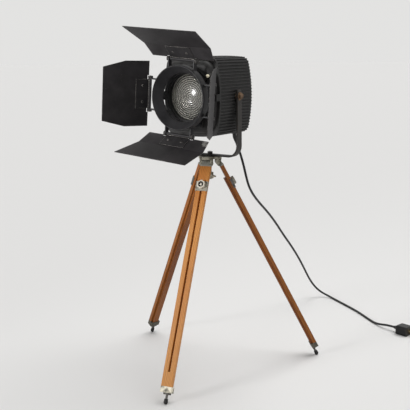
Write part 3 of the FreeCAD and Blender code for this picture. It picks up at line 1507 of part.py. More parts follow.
def make_leaf_hinge(name):
    """A door's hinge plate with its pin, a washer and nut on each end of the pin, and two screws."""
    label = f"leaf_{name}_hinge"
    knuckle_end = dim.ear_spacing - dim.ear_thick / 2 - dim.slide_gap
    plate_top = sheet_low
    plate_base = plate_top - dim.hinge_plate_thick
    plate = block(f"{label}_plate", (-knuckle_end, knuckle_end), (-dim.hinge_plate_reach, -1),
                  (plate_base, plate_top))
    knuckle = rod(f"{label}_knuckle", "x", (0, 0), -knuckle_end, knuckle_end, dim.leaf_knuckle)
    pin = rod(f"{label}_pin", "x", (0, 0), -dim.leaf_pin_half, dim.leaf_pin_half, dim.leaf_pin_radius)
    solids = [plate, knuckle, pin]
    washer_in = dim.ear_spacing + dim.ear_thick / 2 + dim.slide_gap
    washer_end = washer_in + 2
    nut_end = dim.leaf_pin_half - 1
    flats = dim.leaf_nut_radius * 1.7
    solids += [
        rod(f"{label}_washer_right", "x", (0, 0), washer_in, washer_end, dim.leaf_nut_radius),
        rod(f"{label}_washer_left", "x", (0, 0), -washer_end, -washer_in, dim.leaf_nut_radius),
        hexagon(f"{label}_nut_right", "x", (0, 0), washer_end, nut_end, flats),
        hexagon(f"{label}_nut_left", "x", (0, 0), -nut_end, -washer_end, flats),
    ]
    holes = []
    screws = []
    for side, x in (("left", -dim.leaf_screw_x), ("right", dim.leaf_screw_x)):
        centre = (x, -dim.leaf_screw_y)
        holes.append(rod(f"{label}_{side}_hole", "z", centre, plate_base - 1, plate_top + 1,
                         dim.leaf_screw_radius + dim.seat_gap))
        shank = rod(f"{label}_{side}_shank", "z", centre, plate_base - 1, sheet_high + 2,
                    dim.leaf_screw_radius)
        head = rod(f"{label}_{side}_head", "z", centre, plate_base - 1.6, plate_base,
                   2 * dim.leaf_screw_radius)
        nut = hexagon(f"{label}_{side}_nut", "z", centre, sheet_high, sheet_high + 2,
                      3.4 * dim.leaf_screw_radius)
        screws.append(fuse(f"{label}_{side}_screw", shank, head, nut))
    plate_piece = cut(f"{label}_plate_cut", fuse(f"{label}_solid", *solids), *holes)
    node(label, group(label, plate_piece, *screws), leaf_place(name))


# ---------------------------------------------------------------- cord and plug


def cord_route():
    lift = Vector(0, 0, float(tilt_height))
    start = relief_bend_end() + relief_way * (float(dim.relief_straight) + float(dim.cord_gap)) + lift
    points = [start]
    points += [Vector(*point) for point in CORD_FALL]
    points += [Vector(x, y, float(dim.cord_radius) + 0.1) for x, y in CORD_FLOOR]
    points += [Vector(*point) for point in CORD_RISE]
    return points


def cord_wire(points):
    """Straight runs joined by tangent arcs, each arc as large as its two runs allow."""
    edges = []
    radii = []
    last = points[0]
    for before, corner, after in zip(points, points[1:], points[2:]):
        back = (before - corner).normalize()
        ahead = (after - corner).normalize()
        half_turn = (math.pi - back.getAngle(ahead)) / 2
        reach = 0.45 * min((before - corner).Length, (after - corner).Length)
        radius = reach / math.tan(half_turn)
        radii.append(radius)
        start = corner + back * reach
        end = corner + ahead * reach
        inward = (back + ahead).normalize()
        middle = corner + inward * (radius / math.cos(half_turn) - radius)
        edges.append(Part.LineSegment(last, start).toShape())
        edges.append(Part.Arc(start, middle, end).toShape())
        last = end
    edges.append(Part.LineSegment(last, points[-1]).toShape())
    return Part.Wire(edges), radii


def make_cord():
    points = cord_route()
    wire, radii = cord_wire(points)
    way = (points[1] - points[0]).normalize()
    disc = Part.Wire(Part.Circle(points[0], way, float(dim.cord_radius)).toShape())
    tube = wire.makePipeShell([disc], True, True)
    expected = math.pi * float(dim.cord_radius) ** 2 * wire.Length
    print("cord radii", " ".join(f"{radius:.0f}" for radius in radii))
    print(f"cord length {wire.Length:.1f} volume {tube.Volume:.0f} expected {expected:.0f}")
    if abs(tube.Volume - expected) > 0.01 * expected:
        raise ValueError("the cord's tube doesn't hold its section times its length")
    node("cord", feature("cord", tube))


def plug_place():
    """The plug lies along the cord's last run, its own X leading away from the cord."""
    points = cord_route()
    way = points[-1] - points[-2]
    return Placement(points[-1], Rotation(X_AXIS, way))


def make_plug():
    body_start = dim.boot_length
    body_end = body_start + dim.plug_length
    boot = taper("plug_boot", "x", (0, 0), 0, body_start + 1, dim.cord_radius * 1.35, dim.plug_height * 0.3)
    half_width = dim.plug_width / 2
    half_height = dim.plug_height / 2
    shell = block("plug_shell", (body_start, body_end), (-half_width, half_width),
                  (-half_height, half_height))
    rounded = doc.addObject("Part::Fillet", "plug_rounded")
    rounded.Base = shell
    doc.recompute()
    rounded.Edges = [(number, float(dim.plug_round), float(dim.plug_round))
                     for number, edge in enumerate(shell.Shape.Edges, start=1)
                     if near(edge.CenterOfMass.x, body_start)
                     or (near(edge.CenterOfMass.x, (body_start + body_end) / 2)
                         and near(abs(edge.CenterOfMass.y), half_width))]
    node("plug_body", fuse("plug_body", boot, rounded), plug_place())
    pins = []
    lift = dim.pin_lift
    for name, y, z, upright in (("earth", 0, -dim.pin_spread, True), ("live", -dim.pin_spread, lift, False),
                                ("neutral", dim.pin_spread, lift, False)):
        wide = dim.pin_thick / 2
        tall = dim.pin_width / 2
        pins.append(block(f"pin_{name}", (body_end, body_end + dim.pin_length),
                          (y - wide, y + wide) if upright else (y - tall, y + tall),
                          (z - tall, z + tall) if upright else (z - wide, z + wide)))
    node("plug_pins", group("plug_pins", *pins), plug_place())


# ---------------------------------------------------------------- build

make_head_plate()
make_leg_brackets()
make_pan_screw()
make_pan_knob()
for leg in LEGS:
    make_leg_board(leg)
    make_leg_fittings(leg)
    make_leg_bar(leg)
    make_leg_foot(leg)
    make_leg_tip(leg)
    make_leg_clamp(leg)
    make_leg_knob(leg)
make_yoke()
make_housing_shell()
make_rear_cover()
make_cover_screws()
make_trunnion_bolts()
make_tilt_knob()
make_cord_gland()
make_strain_relief()
make_guide_rods()
make_terminal_block()
make_lamp_carriage()
make_lamp_socket()
make_lamp_bulb()
make_reflector()
make_focus_screw()
make_focus_knob()
make_lens_door()
make_door_hinge()
make_door_catch()
make_fresnel_lens()
make_lens_clip()
make_frame_runners()
make_frame_latch()
make_barndoor_ring()
for leaf_name in LEAVES:
    if leaf_name in WIDE_LEAVES:
        make_wide_leaf(leaf_name)
    else:
        make_side_leaf(leaf_name)
    make_leaf_hinge(leaf_name)
make_cord()
make_plug()
doc.recompute()

for obj in doc.Objects:
    if "Invalid" in obj.State or "Error" in obj.State:
        raise ValueError(f"{obj.Name} did not compute: {obj.State}")
for piece in nodes:
    if piece.Shape.isNull() or not piece.Shape.isValid() or not piece.Shape.Solids:
        raise ValueError(f"{piece.Label} is not a valid solid")

os.makedirs("parts", exist_ok=True)
for piece in nodes:
    piece.Shape.exportStep(f"parts/{piece.Label}.step")
print(f"{len(nodes)} sub-parts written")
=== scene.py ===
"""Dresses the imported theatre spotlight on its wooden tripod: finishes, lens, cord, camera and studio."""

from __future__ import annotations

import json
import logging
import math
from dataclasses import dataclass, replace
from enum import Enum

import bpy
from mathutils import Matrix, Vector

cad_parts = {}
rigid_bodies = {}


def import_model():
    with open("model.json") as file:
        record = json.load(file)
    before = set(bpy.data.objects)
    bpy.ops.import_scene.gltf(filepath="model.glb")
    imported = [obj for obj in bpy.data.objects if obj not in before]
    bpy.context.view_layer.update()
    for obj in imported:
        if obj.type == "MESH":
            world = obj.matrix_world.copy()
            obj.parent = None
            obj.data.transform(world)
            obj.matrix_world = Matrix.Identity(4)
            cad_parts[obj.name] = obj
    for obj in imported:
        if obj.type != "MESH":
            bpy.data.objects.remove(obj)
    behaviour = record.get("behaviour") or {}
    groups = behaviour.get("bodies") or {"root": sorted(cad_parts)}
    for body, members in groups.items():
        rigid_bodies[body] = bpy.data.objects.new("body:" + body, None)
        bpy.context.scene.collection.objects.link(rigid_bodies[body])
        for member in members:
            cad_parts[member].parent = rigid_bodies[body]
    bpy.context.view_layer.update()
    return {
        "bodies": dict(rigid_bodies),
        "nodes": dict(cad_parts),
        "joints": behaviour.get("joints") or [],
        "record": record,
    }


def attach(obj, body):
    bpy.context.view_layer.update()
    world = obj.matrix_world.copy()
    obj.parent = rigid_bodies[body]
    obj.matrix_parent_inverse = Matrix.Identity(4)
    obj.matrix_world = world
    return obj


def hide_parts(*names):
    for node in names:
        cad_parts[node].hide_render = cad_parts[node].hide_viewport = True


log = logging.getLogger("spotlight")

Colour = tuple[float, float, float]
Spot = tuple[float, float, float, float]
MM = 0.001
LEGS = (1, 2, 3)


class Leaf(Enum):
    """The four barn doors: quarter turns, opening in degrees and hinge radius in millimetres."""

    TOP = (0, 47.3, 122.0)
    RIGHT = (1, 29.0, 127.5)
    BOTTOM = (2, 33.2, 122.0)
    LEFT = (3, 22.3, 127.5)

    @property
    def label(self) -> str:
        """The word that the leaf's nodes are named with."""
        return self.name.lower()


class Slot(Enum):
    """The record's material slots for the lens glass and the black rubber, which the new pieces do not
    read.
    """

    LENS = "lens_glass"
    RUBBER = "black_rubber"


# ---------------------------------------------------------------- places


def shift(x: float = 0.0, y: float = 0.0, z: float = 0.0) -> Matrix:
    """A move by millimetres."""
    return Matrix.Translation((x * MM, y * MM, z * MM))


def turn(axis: str, degrees: float) -> Matrix:
    """A turn about one axis."""
    return Matrix.Rotation(math.radians(degrees), 4, axis)


@dataclass(frozen=True)
class Places:
    """The local frames in which pieces are modelled and patterns are laid, sizes in millimetres."""

    tilt_height: float = 956.0
    ring_turn: float = 4.6
    hinge_back: float = 164.0
    leg_pin_circle: float = 27.0
    leg_pin_height: float = 727.0
    first_leg_turn: float = 12.5
    leg_splay: float = 27.1
    clamp_drop: float = 83.0

    def lamp(self) -> Matrix:
        """The lamp house's frame, with its origin on the tilt axis."""
        return shift(z=self.tilt_height)

    def ring(self) -> Matrix:
        """The barn door ring's frame, turned a little on the lamp."""
        return self.lamp() @ turn("Y", self.ring_turn)

    def leaf(self, leaf: Leaf) -> Matrix:
        """A barn door's frame: the leaf runs along -Y from its pin and faces out along +Z.

        Args:
            leaf: which of the four doors.

        Returns:
            The door's frame at rest.
        """
        quarters, opening, radius = leaf.value
        arm = shift(y=-self.hinge_back, z=radius)
        return self.ring() @ turn("Y", 90.0 * quarters) @ arm @ turn("X", -opening)

    def leg(self, number: int) -> Matrix:
        """A leg's frame: the leg runs along -Z from its hinge pin and faces out along -Y.

        Args:
            number: the leg, from 1 at the front.

        Returns:
            The leg's frame at rest.
        """
        around = turn("Z", self.first_leg_turn + 120.0 * (number - 1))
        hinge = shift(y=-self.leg_pin_circle, z=self.leg_pin_height)
        return around @ hinge @ turn("X", -self.leg_splay)

    def clamp(self, number: int) -> Matrix:
        """The frame of a leg's clamp knob, whose bolt runs along Y."""
        return self.leg(number) @ shift(z=-self.clamp_drop)


PLACES = Places()


# ---------------------------------------------------------------- materials


def tinted(colour: Colour, factor: float) -> Colour:
    """A colour made lighter or darker by a factor."""
    return tuple(min(1.0, part * factor) for part in colour)


class Shader:
    """One material's node tree, with short calls for the nodes that the finishes share."""

    def __init__(self, name: str, place: Matrix = Matrix.Identity(4)) -> None:
        """Starts a material whose patterns lie in a local frame.

        Args:
            name: the material's name.
            place: the frame that the patterns are laid in.
        """
        self.material = bpy.data.materials.new(name)
        self.material.use_nodes = True
        self.tree = self.material.node_tree
        self.surface = self.tree.nodes["Principled BSDF"]
        coordinates = self.add("ShaderNodeTexCoord")
        frame = self.add(
            "ShaderNodeMapping",
            {"vector_type": "TEXTURE"},
            Vector=coordinates.outputs["Object"],
            Location=tuple(place.to_translation()),
            Rotation=tuple(place.to_euler("XYZ")),
        )
        self.at = frame.outputs["Vector"]
        self.facing = coordinates.outputs["Normal"]

    def add(self, kind: str, settings: dict | None = None, **sockets: object) -> bpy.types.Node:
        """Adds a node, sets its properties and feeds its sockets.

        Args:
            kind: the node's type name.
            settings: the node's own properties.
            sockets: values or outputs by socket name, with _ for a space.

        Returns:
            The new node.
        """
        made = self.tree.nodes.new(kind)
        for key, value in (settings or {}).items():
            setattr(made, key, value)
        for key, value in sockets.items():
            self.feed(made, key.replace("_", " "), value)
        return made

    def feed(self, target: bpy.types.Node, socket: str | int, value: object) -> None:
        """Sets a socket to a value, or links an output to it.

        Args:
            target: the node that is fed.
            socket: the name or number of its socket.
            value: a number, a colour, a vector or another node's output.
        """
        entry = target.inputs[socket]
        if isinstance(value, bpy.types.NodeSocket):
            self.tree.links.new(value, entry)
        elif entry.type == "RGBA":
            entry.default_value = (*value, 1.0)
        else:
            entry.default_value = value

    def stretch(self, x: float, y: float, z: float) -> bpy.types.NodeSocket:
        """Multiplies each axis of the local place.

        Args:
            x: the factor along X.
            y: the factor along Y.
            z: the factor along Z.

        Returns:
            The stretched place.
        """
        made = self.add("ShaderNodeVectorMath", {"operation": "MULTIPLY"})
        self.feed(made, 0, self.at)
        self.feed(made, 1, (x, y, z))
        return made.outputs[0]

    def noise(
        self,
        scale: float,
        detail: float = 4.0,
        vector: bpy.types.NodeSocket | None = None,
        warp: float = 0.0,
    ) -> bpy.types.NodeSocket:
        """Makes cloudy noise in the local frame, or over a stretched one.

        Args:
            scale: how many clouds there are to a metre.
            detail: how many finer layers are added.
            vector: the place that is read, if not the local one.
            warp: how far the clouds are distorted.

        Returns:
            The noise, from 0 to 1.
        """
        made = self.add(
            "ShaderNodeTexNoise",
            Vector=vector or self.at,
            Scale=scale,
            Detail=detail,
            Roughness=0.6,
            Distortion=warp,
        )
        return made.outputs[0]

    def cells(self, scale: float) -> bpy.types.NodeSocket:
        """The distance to the nearest of many scattered points."""
        return self.add("ShaderNodeTexVoronoi", Vector=self.at, Scale=scale).outputs["Distance"]

    def step(self, value: bpy.types.NodeSocket, low: float, high: float) -> bpy.types.NodeSocket:
        """Makes a smooth rise from 0 to 1.

        Args:
            value: the number that is read.
            low: where the rise starts.
            high: where it ends, which may lie below the start.

        Returns:
            The share.
        """
        made = self.add("ShaderNodeMapRange", {"interpolation_type": "SMOOTHSTEP"})
        self.feed(made, 0, value)
        self.feed(made, 1, low)
        self.feed(made, 2, high)
        return made.outputs[0]

    def span(self, value: bpy.types.NodeSocket, low: float, high: float) -> bpy.types.NodeSocket:
        """Spreads a share over a range of numbers.

        Args:
            value: the share, from 0 to 1.
            low: the number at 0.
            high: the number at 1.

        Returns:
            The number.
        """
        made = self.add("ShaderNodeMapRange")
        self.feed(made, 0, value)
        self.feed(made, 3, low)
        self.feed(made, 4, high)
        return made.outputs[0]

    def maths(self, operation: str, first: object, second: object = 0.0) -> bpy.types.NodeSocket:
        """Works on two numbers.

        Args:
            operation: the name of the operation.
            first: a number or an output.
            second: another one.

        Returns:
            The result.
        """
        made = self.add("ShaderNodeMath", {"operation": operation})
        self.feed(made, 0, first)
        self.feed(made, 1, second)
        return made.outputs[0]

    def both(self, first: object, second: object) -> bpy.types.NodeSocket:
        """The product of two shares."""
        return self.maths("MULTIPLY", first, second)

    def either(self, first: object, second: object) -> bpy.types.NodeSocket:
        """The greater of two shares."""
        return self.maths("MAXIMUM", first, second)

    def blend(self, share: object, first: object, second: object) -> bpy.types.NodeSocket:
        """Mixes two colours.

        Args:
            share: how much of the second there is, from 0 to 1.
            first: a colour or an output.
            second: another one.

        Returns:
            The mixed colour.
        """
        made = self.add("ShaderNodeMix", {"data_type": "RGBA"})
        self.feed(made, 0, share)
        self.feed(made, 6, first)
        self.feed(made, 7, second)
        return made.outputs[2]

    def part(self, vector: bpy.types.NodeSocket, axis: str) -> bpy.types.NodeSocket:
        """One coordinate of a vector."""
        return self.add("ShaderNodeSeparateXYZ", Vector=vector).outputs[axis]

    def round_y(self) -> bpy.types.NodeSocket:
        """Measures from the local Y axis.

        Returns:
            The distance in metres.
        """
        made = self.add("ShaderNodeVectorMath", {"operation": "LENGTH"})
        self.feed(made, 0, self.stretch(1.0, 0.0, 1.0))
        return made.outputs["Value"]

    def away(self, point: tuple[float, float, float]) -> bpy.types.NodeSocket:
        """Measures from a point of the local frame.

        Args:
            point: the point, in millimetres.

        Returns:
            The distance in metres.
        """
        made = self.add("ShaderNodeVectorMath", {"operation": "DISTANCE"})
        self.feed(made, 0, self.at)
        self.feed(made, 1, tuple(part * MM for part in point))
        return made.outputs["Value"]

    def edges(self, radius: float) -> tuple[bpy.types.NodeSocket, bpy.types.NodeSocket]:
        """The corners of the piece as a share, and a normal that rounds them.

        Args:
            radius: how far from a corner the rounding reaches, in metres.

        Returns:
            The share, which is 1 on a corner, and the rounded normal.
        """
        rounded = self.add("ShaderNodeBevel", {"samples": 4}, Radius=radius).outputs["Normal"]
        flat = self.add("ShaderNodeNewGeometry").outputs["Normal"]
        same = self.add("ShaderNodeVectorMath", {"operation": "DOT_PRODUCT"})
        self.feed(same, 0, rounded)
        self.feed(same, 1, flat)
        turned = self.maths("SUBTRACT", 1.0, same.outputs["Value"])
        return self.step(turned, 0.01, 0.14), rounded

    def bump(
        self,
        height: bpy.types.NodeSocket,
        distance: float,
        strength: float = 1.0,
        normal: bpy.types.NodeSocket | None = None,
    ) -> bpy.types.NodeSocket:
        """Makes a normal that stands for relief.

        Args:
            height: the relief, as a share.
            distance: how high a share of 1 stands, in metres.
            strength: how much of it is shown.
            normal: the normal that it is added to.

        Returns:
            The new normal.
        """
        made = self.add("ShaderNodeBump", Height=height, Distance=distance, Strength=strength)
        if normal is not None:
            self.feed(made, "Normal", normal)
        return made.outputs["Normal"]

    def finish(self, **sockets: object) -> bpy.types.Material:
        """Feeds the surface's own sockets.

        Args:
            sockets: values or outputs by socket name, with _ for a space.

        Returns:
            The material.
        """
        for key, value in sockets.items():
            self.feed(self.surface, key.replace("_", " "), value)
        return self.material


@dataclass(frozen=True)
class Paint:
    """Old black paint on metal: mottled, dusty, scuffed and worn through at its edges."""

    colour: Colour
    metal: Colour = (0.20, 0.185, 0.17)
    dust: Colour = (0.15, 0.14, 0.125)
    roughness: float = 0.5
    dusting: float = 0.10
    wear: float = 0.5
    grain: float = 0.00006
    reach: float = 0.0012
    gloss: float = 0.24
    cloud_scale: float = 17.0
    speckle_scale: float = 420.0
    dust_scale: float = 60.0
    rub_scale: float = 85.0
    chip_scale: float = 210.0

    def material(
        self,
        name: str,
        place: Matrix,
        bare: Spot | None = None,
    ) -> bpy.types.Material:
        """Makes the paint.

        Args:
            name: the material's name.
            place: the frame that its patterns lie in.
            bare: a worn spot, as its centre and radius in millimetres in that frame.

        Returns:
            The material.
        """
        shader = Shader(name, place)
        cloud = shader.noise(self.cloud_scale, 6.0)
        mottled = shader.step(cloud, 0.3, 0.72)
        colour = shader.blend(mottled, tinted(self.colour, 0.72), tinted(self.colour, 1.35))
        colour = shader.blend(self._settled(shader), colour, self.dust)
        colour = shader.blend(self._scuffs(shader), colour, tinted(self.dust, 0.8))
        corners, rounded = shader.edges(self.reach)
        worn = self._worn(shader, corners)
        if bare:
            near = shader.step(shader.away(bare[:3]), bare[3] * MM, bare[3] * MM * 0.45)
            ragged = shader.both(near, shader.noise(140.0, 5.0))
            worn = shader.either(worn, shader.step(ragged, 0.30, 0.5))
        colour = shader.blend(worn, colour, self.metal)
        relief = shader.bump(shader.noise(self.speckle_scale, 3.0), self.grain, 0.6, rounded)
        relief = shader.bump(worn, -0.00004, 1.0, relief)
        return shader.finish(
            Base_Color=colour,
            Metallic=shader.both(worn, 0.8),
            Roughness=shader.span(cloud, self.roughness - 0.09, self.roughness + 0.12),
            Normal=relief,
            Specular_IOR_Level=self.gloss,
        )

    def _settled(self, shader: Shader) -> bpy.types.NodeSocket:
        """Makes the dust, which lies thickest on what faces up.

        Args:
            shader: the paint's node tree.

        Returns:
            The share of dust.
        """
        top = shader.step(shader.part(shader.facing, "Z"), 0.1, 1.0)
        lie = shader.span(top, self.dusting * 0.4, self.dusting)
        return shader.both(shader.step(shader.noise(self.dust_scale, 6.0), 0.25, 0.8), lie)

    def _scuffs(self, shader: Shader) -> bpy.types.NodeSocket:
        """Makes fine scuffs in two directions.

        Args:
            shader: the paint's node tree.

        Returns:
            The share of scuffs.
        """
        along = shader.noise(9.0, 3.0, shader.stretch(1.0, 46.0, 60.0), 1.2)
        across = shader.noise(8.0, 3.0, shader.stretch(52.0, 3.0, 40.0), 1.0)
        lines = shader.either(shader.step(along, 0.70, 0.74), shader.step(across, 0.71, 0.75))
        return shader.both(lines, shader.span(shader.noise(30.0), 0.0, 0.5))

    def _worn(self, shader: Shader, corners: bpy.types.NodeSocket) -> bpy.types.NodeSocket:
        """Makes the bare metal: rubbed corners and small chips.

        Args:
            shader: the paint's node tree.
            corners: the share that is 1 on a corner.

        Returns:
            The share of bare metal.
        """
        rub = shader.noise(self.rub_scale, 5.0)
        rubbed = shader.step(rub, 0.62 - 0.3 * self.wear, 0.8 - 0.2 * self.wear)
        spots = shader.step(shader.cells(self.chip_scale), 0.16, 0.08)
        chips = shader.both(spots, shader.step(shader.noise(24.0), 0.60, 0.72))
        return shader.either(shader.both(corners, rubbed), shader.both(chips, self.wear))


@dataclass(frozen=True)
class Metal:
    """Bare or plated metal with tarnish in its low places and bright rubbed corners."""

    colour: Colour
    tarnish: Colour
    roughness: float = 0.42
    metallic: float = 0.85
    stain: float = 0.5
    pitting: float = 0.00008
    grain: float = 300.0
    end_colour: Colour | None = None
    end_height: float = -0.7
    stain_scale: float = 55.0
    shaded_ring: tuple[float, float] | None = None
    soil_and_shade: Colour = (0.012, 0.011, 0.010)
    reach: float = 0.0011

    def material(self, name: str, place: Matrix) -> bpy.types.Material:
        """Makes the metal, with any end colour below the end height and any ring round Y painted dark as
        painted shade.

        Args:
            name: the material's name.
            place: the frame that its patterns lie in.

        Returns:
            The material.
        """
        shader = Shader(name, place)
        cloud = shader.noise(self.stain_scale, 8.0)
        pits = shader.noise(self.grain, 4.0)
        stained = shader.step(cloud, 0.66 - 0.34 * self.stain, 0.86 - 0.34 * self.stain)
        corners, rounded = shader.edges(self.reach)
        stained = shader.both(stained, shader.span(corners, 1.0, 0.25))
        tone = shader.blend(pits, tinted(self.colour, 0.8), tinted(self.colour, 1.2))
        if self.end_colour:
            end = shader.step(shader.part(shader.at, "Z"), self.end_height, self.end_height - MM)
            pale = shader.blend(pits, tinted(self.end_colour, 0.8), self.end_colour)
            tone = shader.blend(end, tone, pale)
        colour = shader.blend(stained, tone, self.tarnish)
        colour = shader.blend(shader.both(corners, 0.5), colour, tinted(self.colour, 1.45))
        # A ring round Y painted dark: painted shade in the recess round a knob's bolt.
        if self.shaded_ring:
            start, stop = self.shaded_ring
            out = shader.round_y()
            ring = shader.both(shader.step(out, start, start + MM), shader.step(out, stop + 0.6 * MM, stop))
            colour = shader.blend(shader.both(ring, 0.92), colour, self.soil_and_shade)
        relief = shader.bump(pits, self.pitting, 0.7, rounded)
        dull = shader.span(stained, self.roughness, min(0.9, self.roughness + 0.25))
        return shader.finish(
            Base_Color=colour,
            Metallic=shader.span(stained, self.metallic, self.metallic * 0.45),
            Roughness=dull,
            Normal=relief,
        )


@dataclass(frozen=True)
class Moulded:
    """Plastic, rubber or glazed ware: one plain colour, softly mottled and grained."""

    colour: Colour
    roughness: float = 0.45
    grain: float = 0.00004
    dust: Colour = (0.16, 0.15, 0.14)
    dusting: float = 0.08
    coat: float = 0.0
    gloss: float = 0.28
    reach: float = 0.0008
    mottle_scale: float = 40.0
    dust_scale: float = 130.0
    grain_scale: float = 700.0

    def material(self, name: str, place: Matrix) -> bpy.types.Material:
        """Makes the moulded finish.

        Args:
            name: the material's name.
            place: the frame that its patterns lie in.

        Returns:
            The material.
        """
        shader = Shader(name, place)
        cloud = shader.noise(self.mottle_scale, 5.0)
        colour = shader.blend(cloud, tinted(self.colour, 0.78), tinted(self.colour, 1.22))
        settled = shader.both(shader.step(shader.noise(self.dust_scale, 5.0), 0.45, 0.8), self.dusting)
        colour = shader.blend(settled, colour, self.dust)
        corners, rounded = shader.edges(self.reach)
        colour = shader.blend(shader.both(corners, 0.18), colour, self.dust)
        relief = shader.bump(shader.noise(self.grain_scale, 2.0), self.grain, 0.7, rounded)
        dull = shader.span(cloud, self.roughness - 0.06, self.roughness + 0.1)
        return shader.finish(
            Base_Color=colour,
            Roughness=dull,
            Normal=relief,
            Specular_IOR_Level=self.gloss,
            Coat_Weight=self.coat,
            Coat_Roughness=0.2,
        )


@dataclass(frozen=True)
class Timber:
    """Varnished wood with its grain along the leg."""

    pale: Colour = (0.66, 0.285, 0.062)
    warm: Colour = (0.52, 0.175, 0.027)
    dark: Colour = (0.16, 0.042, 0.008)
    ring: float = 0.0052
    varnish: float = 0.18
    gloss: float = 0.3
    reach: float = 0.0016
    seed: float = 0.0

    def material(self, name: str, place: Matrix) -> bpy.types.Material:
        """Makes the wood.

        Args:
            name: the material's name.
            place: the frame of the leg, whose length is along Z.

        Returns:
            The material.
        """
        start = Matrix.Translation((0.31 * self.seed, 0.17 * self.seed, 0.9 * self.seed))
        shader = Shader(name, place @ start)
        sway = shader.both(shader.noise(5.0, 3.0, shader.stretch(3.0, 3.0, 0.9)), 0.030)
        across = shader.maths("ADD", shader.part(shader.at, "X"), sway)
        deep = shader.both(shader.part(shader.at, "Y"), 0.6)
        rings = shader.both(shader.maths("ADD", across, deep), 2.0 * math.pi / self.ring)
        late = shader.step(shader.maths("SINE", rings), -0.2, 1.0)
        blotch = shader.noise(3.2, 5.0, shader.stretch(2.2, 2.2, 0.7))
        colour = shader.blend(shader.step(blotch, 0.32, 0.70), self.pale, self.warm)
        colour = shader.blend(shader.both(late, 0.42), colour, self.dark)
        fibre = shader.noise(1.0, 3.0, shader.stretch(1500.0, 1500.0, 22.0))
        pores = shader.step(fibre, 0.60, 0.72)
        colour = shader.blend(shader.both(pores, 0.34), colour, self.dark)
        soil_and_shade = shader.step(shader.noise(9.0, 5.0, shader.stretch(1.6, 1.6, 0.5)), 0.55, 0.80)
        colour = shader.blend(shader.both(soil_and_shade, 0.45), colour, tinted(self.dark, 1.3))
        dents = shader.step(shader.cells(46.0), 0.11, 0.04)
        knocks = shader.both(dents, shader.step(shader.noise(11.0), 0.5, 0.6))
        colour = shader.blend(shader.both(knocks, 0.6), colour, tinted(self.dark, 0.6))
        corners, rounded = shader.edges(self.reach)
        patches = shader.step(shader.noise(26.0, 4.0, shader.stretch(1.0, 1.0, 0.25)), 0.45, 0.65)
        rubbed = shader.both(shader.both(corners, patches), 0.4)
        colour = shader.blend(rubbed, colour, tinted(self.pale, 1.2))
        relief = shader.bump(fibre, 0.00010, 0.5, rounded)
        relief = shader.bump(knocks, -0.0003, 0.8, relief)
        return shader.finish(
            Base_Color=colour,
            Roughness=shader.span(shader.noise(33.0, 4.0), 0.40, 0.62),
            Normal=relief,
            Specular_IOR_Level=self.gloss,
            Coat_Weight=self.varnish,
            Coat_Roughness=0.25,
        )


@dataclass(frozen=True)
class Glass:
    """Clear glass, faintly tinted, with a little dust; a stepped lens also gets rings of painted shade and
    light for what its prisms refract.
    """

    colour: Colour
    roughness: float
    haze: float
    clear: float = 1.0
    ring: float = 0.0
    shade: Colour = (0.20, 0.20, 0.15)
    bend: float = 1.52
    film_scale: float = 48.0

    def material(self, name: str, place: Matrix) -> bpy.types.Material:
        """Makes the glass.

        Args:
            name: the material's name.
            place: the frame that its patterns lie in.

        Returns:
            The material.
        """
        shader = Shader(name, place)
        film = shader.noise(self.film_scale, 6.0)
        colour = shader.blend(shader.both(film, self.haze), self.colour, tinted(self.colour, 0.7))
        # Rings of painted shade between lighter rings, at the prisms' pitch, stand for the light and shade
        # that the prisms refract; a noise varies their strength.
        if self.ring:
            turns = shader.both(shader.round_y(), 2.0 * math.pi / (self.ring * MM))
            painted_ring_shade = shader.step(shader.maths("SINE", turns), -0.5, 0.6)
            ring_shade_strength = shader.span(shader.noise(21.0, 3.0), 0.7, 1.1)
            colour = shader.blend(shader.both(painted_ring_shade, ring_shade_strength), colour, self.shade)
        return shader.finish(
            Base_Color=colour,
            Roughness=shader.span(film, self.roughness, self.roughness + 0.07),
            Transmission_Weight=self.clear,
            IOR=self.bend,
        )


HOUSE_PAINT = Paint((0.0150, 0.0145, 0.0145), roughness=0.5, dusting=0.10, wear=0.35)
LEAF_PAINT = Paint((0.0250, 0.0228, 0.0243), (0.34, 0.33, 0.31), roughness=0.56, dusting=0.06, wear=0.85)
HINGE_PAINT = Paint(
    (0.0205, 0.0190, 0.0205), (0.27, 0.255, 0.235), roughness=0.48, dusting=0.10, wear=1.15, reach=0.0022
)
RING_PAINT = Paint((0.0215, 0.0210, 0.0230), roughness=0.42, dusting=0.06, wear=0.7)
STRAP_PAINT = Paint((0.027, 0.024, 0.022), metal=(0.24, 0.15, 0.085), roughness=0.5, dusting=0.1, wear=0.45)
BLACKED = Paint((0.008, 0.008, 0.008), roughness=0.5, dusting=0.05, wear=0.3)
CAST_METAL = Metal((0.34, 0.32, 0.26), (0.075, 0.066, 0.042), 0.5, 0.55, 0.66, 0.00025, 260.0)
BRIGHT_END = Metal(
    (0.34, 0.33, 0.285), (0.16, 0.15, 0.12), 0.5, 0.35, 0.5, 0.00025, 260.0, (0.90, 0.84, 0.68)
)
DARK_END = Metal(
    (0.30, 0.29, 0.25), (0.075, 0.07, 0.052), 0.5, 0.55, 0.62, 0.00025, 260.0, (0.12, 0.11, 0.085)
)
STEEL = Metal((0.44, 0.435, 0.42), (0.15, 0.13, 0.105), 0.38, 0.9, 0.4)
DULL_STEEL = Metal((0.13, 0.125, 0.115), (0.045, 0.04, 0.035), 0.45, 0.75, 0.55)
